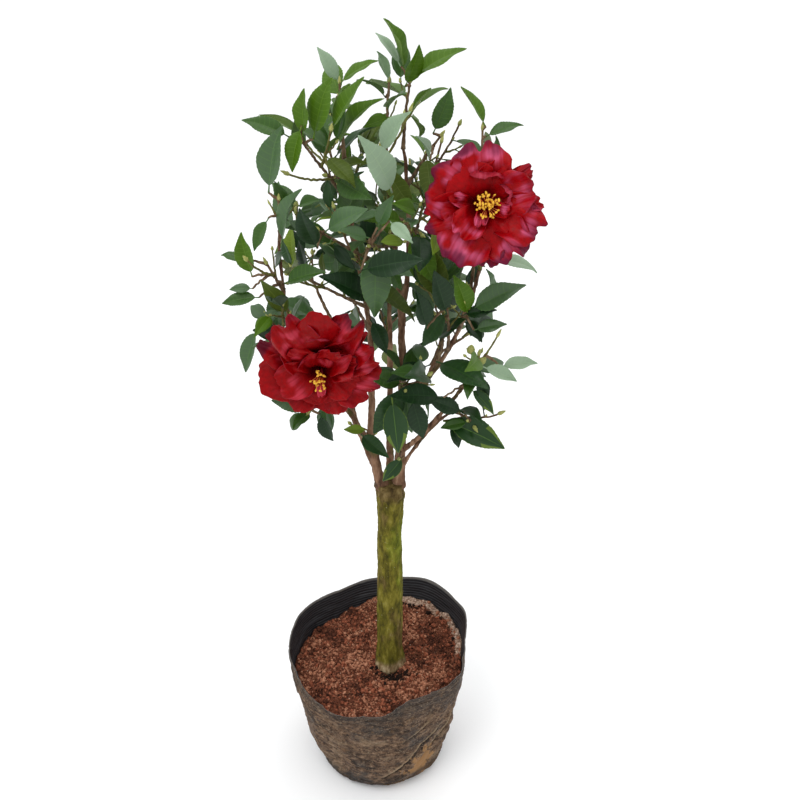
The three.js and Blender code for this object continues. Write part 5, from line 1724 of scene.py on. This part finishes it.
def bag_outside():
    """The film outside: dusty crumpled wall, ribbed bands, tucks darkened as painted shade over the film's
    own black, ridges lightened as painted highlight, mud and a foot darker towards the floor
    """
    film = Look("bag_outside", (92, 76, 60), 0.62, 0.2)
    dust = film.noise(20, detail=6, roughness=0.62)
    crinkle = film.noise(150, detail=8, roughness=0.72, stretch=(0.8, 0.8, 1.6))
    ribs = film.noise(46, detail=5, roughness=0.7, stretch=(0.35, 0.35, 9))
    speck = film.noise(420, detail=4, roughness=0.75)
    ragged = film.noise(60, detail=6, roughness=0.7)
    cloud = film.noise(32, detail=5, roughness=0.6, stretch=(0.8, 0.8, 1.4))
    stops = [(0.36, (34, 26, 21)), (0.45, (76, 58, 45)), (0.54, (108, 84, 65)), (0.68, (150, 124, 100))]
    dusty = film.ramp(crinkle, stops)
    dusty = film.blend(film.span(cloud, 0.54, 0.68, 0, 0.6), dusty, (140, 118, 94))
    dusty = film.blend(film.span(cloud, 0.46, 0.34, 0, 0.6), dusty, (40, 33, 28))
    stops = [(0.38, (20, 17, 16)), (0.5, (44, 38, 35)), (0.6, (82, 70, 61)), (0.74, (132, 116, 102))]
    plain = film.ramp(ribs, stops)
    ribbed = film.blend(film.span(film.attribute("rib"), 0.6, 1, 0, 0.4), plain, (116, 110, 104))
    upper = film.blend(film.span(film.height(), 0.112, 0.146, 0, 0.7), dusty, ribbed)
    worn = film.blend(film.span(dust, 0.34, 0.46, 0.75, 0), upper, ribbed)
    # painted shade: the tucks of the folds go near-black, the film's own black darkened further in the crease
    crease_shaded = film.blend(film.span(film.attribute("tuck"), 0.12, 0.6, 0, 0.85), worn, (20, 19, 19))
    # painted highlight: the ridge above each tuck is lighter
    ridge_lit = film.blend(film.span(film.attribute("fold"), 0.2, 0.7, 0, 0.8), crease_shaded, (146, 124, 96))
    pitted = film.blend(film.span(speck, 0.46, 0.38, 0, 0.7), ridge_lit, (28, 24, 21))
    specked = film.blend(film.span(speck, 0.58, 0.68, 0, 0.7), pitted, (164, 146, 122))
    mud = film.add(film.attribute("mud"), film.span(ragged, 0.36, 0.64, -0.4, 0.4))
    muddy = film.blend(film.span(mud, 0.36, 0.5, 0, 0.9), specked, (156, 118, 78))
    # the film is darker towards the floor, along a ragged line
    foot = film.blend(film.span(film.height(), 0.036, 0.018, 0, 1), (0, 0, 0), (255, 255, 255))
    foot = film.blend(film.span(ragged, 0.36, 0.52), (0, 0, 0), foot)
    film.colour(film.blend(film.span(foot, 0, 1, 0, 0.8), muddy, (32, 28, 26)))
    film.rough(dust, 0.5, 0.78)
    film.bump((dust, 0.5, 0.003), (crinkle, 1.0, 0.0026), (speck, 0.5, 0.0006))
    return film.material


def bag_inside():
    film = Look("bag_inside", (34, 35, 38), 0.45, 0.3)
    haze = film.noise(46, detail=5, roughness=0.7, stretch=(0.3, 0.3, 11))
    stops = [(0.4, (13, 14, 16)), (0.56, (27, 28, 31)), (0.68, (70, 70, 72)), (0.8, (120, 118, 116))]
    hazy = film.ramp(haze, stops)
    film.colour(film.blend(film.span(film.attribute("rib"), 0.55, 1, 0, 0.5), hazy, (84, 84, 88)))
    film.bump((haze, 0.4, 0.0008))
    return film.material


bag_heap = Heap()
*bag_film, bag_marks = bag_mesh()
bag_heap.add(*bag_film, **bag_marks)
bag_rim = ("bag_rim", (92, 88, 84), 0.5, 0.3, 300, 3, (0.4, 0.0005))
bag_heap.make("bag_film", [bag_outside(), grained_look(*bag_rim), bag_inside()], ["grow_bag"], "bag_film")

# The compost

SOIL_SIDES = 180
SOIL_ROWS = 60
# the hollow in front of the trunk's foot, whose near-black crumbs are painted shade
HOLLOW = {"place": (17, -16), "size": (21, 10), "depth": 7, "fade": 1.4}
# the bank's directions, and the shares where the dark strip below it and its pale dry compost start
PALE_BANK = {"angle": (0.12, 1.6), "share": (0.86, 0.91)}
SOIL_HUB_SHARE = 0.03
SOIL_OFF_FILM = 0.35
BANK_POWER = 1.32
# lumps of the compost: height in mm, length and seed
SOIL_LUMPS = [(1.6, 38, 61), (1.0, 15, 62), (0.7, 7, 63), (0.45, 3.4, 64)]
# distances from the trunk over which the lumps start and the mound at its foot ends
LUMPS_FROM = (12, 40)
MOUND_TO = (30, 17)
TRUNK_MOUND = 2.2
# the skirt hidden under the compost's edge, and the middle of its underside
SKIRT_DROP = 9
SKIRT_SHRINK = 0.955
UNDERSIDE_DROP = 22


def soil_point(angle, share):
    """A point of the compost's surface: share 0 at the trunk's foot, 1 at the bag"""
    edge_height = soil_edge(angle)
    film = creases(angle, edge_height) * INSIDE_CREASED
    edge = on_bag(wall_radius(edge_height) - FILM_INSET - SOIL_OFF_FILM + film, edge_height, angle)
    foot = vector([*TRUNK["foot"], SOIL["top"]])
    way = edge - foot
    way[..., 2] = 0
    far = np.linalg.norm(way, axis=-1)
    distance = share * far
    beyond = np.clip((distance - SOIL["flat"]) / (far - SOIL["flat"]), 0, 1)
    point = foot + way * share[..., None]
    point[..., 2] = SOIL["top"] + (edge[..., 2] - SOIL["top"]) * beyond ** BANK_POWER
    return point


def hollow_share(points):
    """How much a point lies in the hollow"""
    away = np.linalg.norm((points[..., :2] - HOLLOW["place"]) / HOLLOW["size"], axis=-1)
    return np.exp(-away ** 2 * HOLLOW["fade"])


def soil_relief(points):
    """Height of the compost's lumps, flattened and raised round the trunk"""
    flat = points * (1, 1, 0)
    relief = sum(height * waves(flat, length, seed) for height, length, seed in SOIL_LUMPS)
    near = np.linalg.norm(flat[..., :2] - np.array(TRUNK["foot"]), axis=-1)
    lifted = relief * smooth(*LUMPS_FROM, near) + TRUNK_MOUND * smooth(*MOUND_TO, near)
    return lifted - HOLLOW["depth"] * hollow_share(points)


def on_soil(angle, share):
    """A point of the compost's lumpy surface"""
    points = soil_point(angle, share)
    points[..., 2] += soil_relief(points)
    return points


def soil_mesh():
    """Points, faces and the mark of the pale bank, from the trunk out to the bag and closed below"""
    a, s = np.meshgrid(circle(SOIL_SIDES), np.linspace(SOIL_HUB_SHARE, 1, SOIL_ROWS))
    points = on_soil(a, s)
    skirt = points[-1] * (SKIRT_SHRINK, SKIRT_SHRINK, 1) - (0, 0, SKIRT_DROP)
    rings = np.concatenate([points, skirt[None]]).reshape(-1, 3)
    hub = vector([*TRUNK["foot"], SOIL["top"]])
    base = vector([0, 0, SOIL["top"] - UNDERSIDE_DROP])
    quads = grid_faces(SOIL_ROWS + 1, SOIL_SIDES, closed=True)[:, ::-1]
    top = fan_faces(0, SOIL_SIDES, len(rings))
    under = fan_faces(SOIL_ROWS * SOIL_SIDES, SOIL_SIDES, len(rings) + 1, flip=True)
    low, high = PALE_BANK["angle"]
    bank = smooth(low - 0.1, low + 0.1, a) * smooth(high + 0.15, high - 0.05, a) * smooth(0.9, 0.93, s)
    pale = np.concatenate([bank.ravel(), bank[-1], [0, 0]])
    return np.concatenate([rings, [hub, base]]), [quads, np.concatenate([top, under])], pale


# a ball of twenty faces, for the crumbs
GOLDEN = (1 + 5 ** 0.5) / 2
BALL = np.array([
    (-1, GOLDEN, 0), (1, GOLDEN, 0), (-1, -GOLDEN, 0), (1, -GOLDEN, 0),
    (0, -1, GOLDEN), (0, 1, GOLDEN), (0, -1, -GOLDEN), (0, 1, -GOLDEN),
    (GOLDEN, 0, -1), (GOLDEN, 0, 1), (-GOLDEN, 0, -1), (-GOLDEN, 0, 1),
]) / math.sqrt(1 + GOLDEN ** 2)
BALL_FACES = np.array([
    (0, 11, 5), (0, 5, 1), (0, 1, 7), (0, 7, 10), (0, 10, 11),
    (1, 5, 9), (5, 11, 4), (11, 10, 2), (10, 7, 6), (7, 1, 8),
    (3, 9, 4), (3, 4, 2), (3, 2, 6), (3, 6, 8), (3, 8, 9),
    (4, 9, 5), (2, 4, 11), (6, 2, 10), (8, 6, 7), (9, 8, 1),
])


def turned(rng):
    """A seeded random rotation"""
    q, _ = np.linalg.qr(rng.normal(size=(3, 3)))
    return q if np.linalg.det(q) > 0 else -q


# chances of a kind of crumb, and the limits of the patches where tan and dark ones lie
CRUMB = {
    "hollow": 1.5,
    "darkest_in_hollow": 0.7,
    "pale_on_bank": 0.8,
    "strip": 0.6,
    "darkest_in_strip_above": -0.2,
    "spread": 0.8,
    "tan_above": 0.5,
    "dark_below": -1.25,
    "red": 0.7,
}


def crumb_look(place, angle, share, rng):
    """Which compost lies there: near-black in the hollow, as painted shade, pale and dry along the bank,
    patchy elsewhere
    """
    flat = place[None] * (1, 1, 0)
    patch = waves(flat, 44, 75)[0] + 0.5 * waves(flat, 17, 76)[0]
    # painted shade: the hollow is filled with the darkest crumbs
    if rng.random() < CRUMB["hollow"] * hollow_share(place):
        return DARKEST if rng.random() < CRUMB["darkest_in_hollow"] else DARK
    if PALE_BANK["angle"][0] < angle < PALE_BANK["angle"][1]:
        if share > PALE_BANK["share"][1]:
            return PALE if rng.random() < CRUMB["pale_on_bank"] else TAN
        if share > PALE_BANK["share"][0] and rng.random() < CRUMB["strip"]:
            return DARKEST if patch > CRUMB["darkest_in_strip_above"] else RED
    if patch + rng.normal(0, CRUMB["spread"]) > CRUMB["tan_above"]:
        return TAN
    if patch + rng.normal(0, CRUMB["spread"]) < CRUMB["dark_below"]:
        return DARK
    return RED if rng.random() < CRUMB["red"] else BASE


def crumbs(heap, count, sizes, flatness, seed, look=None):
    """Crumbs of compost bedded in its surface"""
    rng = np.random.default_rng(seed)
    angle = rng.uniform(0, TAU, count)
    size_of = sizes[0] * (sizes[1] / sizes[0]) ** (rng.random(count) ** 1.6)
    inside_film = 1 - (size_of * 1.2 + 0.5) / BAG["rim_radius"]
    share = np.minimum(np.sqrt(rng.uniform(0.03, 0.985, count) ** 1.15), inside_film)
    places = on_soil(angle, share)
    for i, place in enumerate(places):
        size = size_of[i]
        lumpy = BALL * rng.uniform(0.7, 1.25, (len(BALL), 1))
        shape = lumpy * (1, rng.uniform(0.55, 1), rng.uniform(*flatness))
        points = shape @ turned(rng).T * size + place + (0, 0, size * rng.uniform(-0.1, 0.35))
        heap.add(points, [BALL_FACES], crumb_look(place, angle[i], share[i], rng) if look is None else look)


def fibres(heap, count, seed, look):
    """Coir fibres lying on the compost"""
    rng = np.random.default_rng(seed)
    angle = rng.uniform(0, TAU, count)
    share = np.sqrt(rng.uniform(0.05, 0.9, count))
    for place in on_soil(angle, share) + (0, 0, FIBRE_ABOVE):
        turn = rng.uniform(0, TAU)
        way = vector([math.cos(turn), math.sin(turn), rng.uniform(-0.1, 0.25)]) * rng.uniform(*FIBRE_LENGTH)
        curve = Curve(place - way / 2, place + rng.normal(0, 3, 3) * (1, 1, 0.3), place + way / 2)
        radius = rng.uniform(*FIBRE_RADIUS)
        heap.add(*thread(curve, (radius, radius), 6, 4), look)


SOIL_SHADES = {
    "compost": ((48, 26, 18), (94, 53, 37), (130, 80, 60)),
    "crumb_darkest": ((12, 8, 6), (28, 18, 13), (50, 32, 23)),
    "crumb_dark": ((34, 17, 12), (66, 36, 25), (98, 58, 43)),
    "crumb_red": ((84, 42, 28), (132, 74, 52), (172, 106, 80)),
    "crumb_tan": ((116, 70, 50), (160, 106, 80), (196, 144, 116)),
    "crumb_pale": ((140, 108, 90), (184, 154, 134), (220, 196, 178)),
    "fibre": ((84, 48, 32), (126, 80, 56), (164, 118, 88)),
}
PALE_SHADES = ((104, 78, 62), (164, 136, 116), (206, 182, 162))
BASE, DARKEST, DARK, RED, TAN, PALE, FIBRE = range(len(SOIL_SHADES))
# crumbs: count, limits of size in mm, limits of flatness, seed, and their look where it is one for all
CRUMBS = [
    (7000, (0.75, 2.1), (0.5, 1), 71),
    (1500, (1.9, 4.2), (0.35, 0.9), 72),
    (130, (0.5, 1.4), (0.6, 1), 73, PALE),
]
FIBRE_COUNT, FIBRE_SEED = 260, 74
FIBRE_LENGTH = (3, 8)
FIBRE_RADIUS = (0.2, 0.36)
FIBRE_ABOVE = 1.2


def soil_looks():
    looks = []
    for name, (low, middle, high) in SOIL_SHADES.items():
        look = Look(name, middle, 0.95, 0.15)
        grain = look.noise(420, detail=5, roughness=0.65)
        shade = look.ramp(grain, [(0.34, low), (0.5, middle), (0.68, high)])
        if name == "compost":
            dry = look.ramp(grain, list(zip((0.36, 0.5, 0.66), PALE_SHADES)))
            shade = look.blend(look.attribute("pale"), shade, dry)
        look.colour(shade).bump((grain, 0.8, 0.0012))
        looks.append(look.material)
    return looks


soil_materials = soil_looks()
soil_heap = Heap()
soil_points, soil_faces, pale_marks = soil_mesh()
soil_heap.add(soil_points, soil_faces, 0, pale=pale_marks)
soil_heap.make("compost", soil_materials[:1], ["potting_soil"], "soil")
crumb_heap = Heap()
for crumb_row in CRUMBS:
    crumbs(crumb_heap, *crumb_row)
fibres(crumb_heap, FIBRE_COUNT, FIBRE_SEED, FIBRE)
crumb_heap.make("compost_crumbs", soil_materials, (), "soil")

# Floor and light

FLOOR_HALF = 9.0
SKY_COLOUR = (0.98, 0.99, 1.0, 1)
SKY_AT_HORIZON = 0.9
SKY_OVERHEAD = 1.25
CROWN_MIDDLE = (0, 0, 0.6)
# soft light: its place, size across in metres and power in watts
LIGHTS = {
    "key": ((-0.9, -1.0, 2.6), 1.4, 17),
    "top": ((0.5, 0.7, 2.8), 1.8, 11),
}


def floor_plane():
    mesh = bpy.data.meshes.new("floor")
    corners = [(x * FLOOR_HALF, y * FLOOR_HALF, 0) for x, y in ((-1, -1), (1, -1), (1, 1), (-1, 1))]
    mesh.from_pydata(corners, [], [range(4)])
    mesh.materials.append(Look("floor_pale", (249, 249, 249), 0.9, 0.1).material)
    return in_scene(bpy.data.objects.new("floor", mesh))


def soft_light(name, place, size, power):
    """A round light that faces the crown"""
    data = bpy.data.lights.new(name, "AREA")
    data.shape = "DISK"
    data.size = size
    data.energy = power
    light = in_scene(bpy.data.objects.new(name, data))
    light.location = place
    light.rotation_mode = "QUATERNION"
    light.rotation_quaternion = (Vector(CROWN_MIDDLE) - Vector(place)).to_track_quat("-Z", "Y")


def pale_sky():
    """A world that is brighter overhead than at the horizon"""
    world = bpy.data.worlds.new("pale_sky")
    world.use_nodes = True
    nodes, links = world.node_tree.nodes, world.node_tree.links
    background = nodes["Background"]
    background.inputs["Color"].default_value = SKY_COLOUR
    direction = nodes.new("ShaderNodeTexCoord").outputs["Generated"]
    split = nodes.new("ShaderNodeSeparateXYZ")
    links.new(direction, split.inputs["Vector"])
    strength = nodes.new("ShaderNodeMapRange")
    strength.inputs["To Min"].default_value = SKY_AT_HORIZON
    strength.inputs["To Max"].default_value = SKY_OVERHEAD
    links.new(split.outputs["Z"], strength.inputs["Value"])
    links.new(strength.outputs["Result"], background.inputs["Strength"])
    return world


floor = floor_plane()
for name, light_row in LIGHTS.items():
    soft_light(name, *light_row)
bpy.context.scene.world = pale_sky()
view = bpy.context.scene.view_settings
view.view_transform = "Standard"
view.look = "None"
view.exposure = 0.0
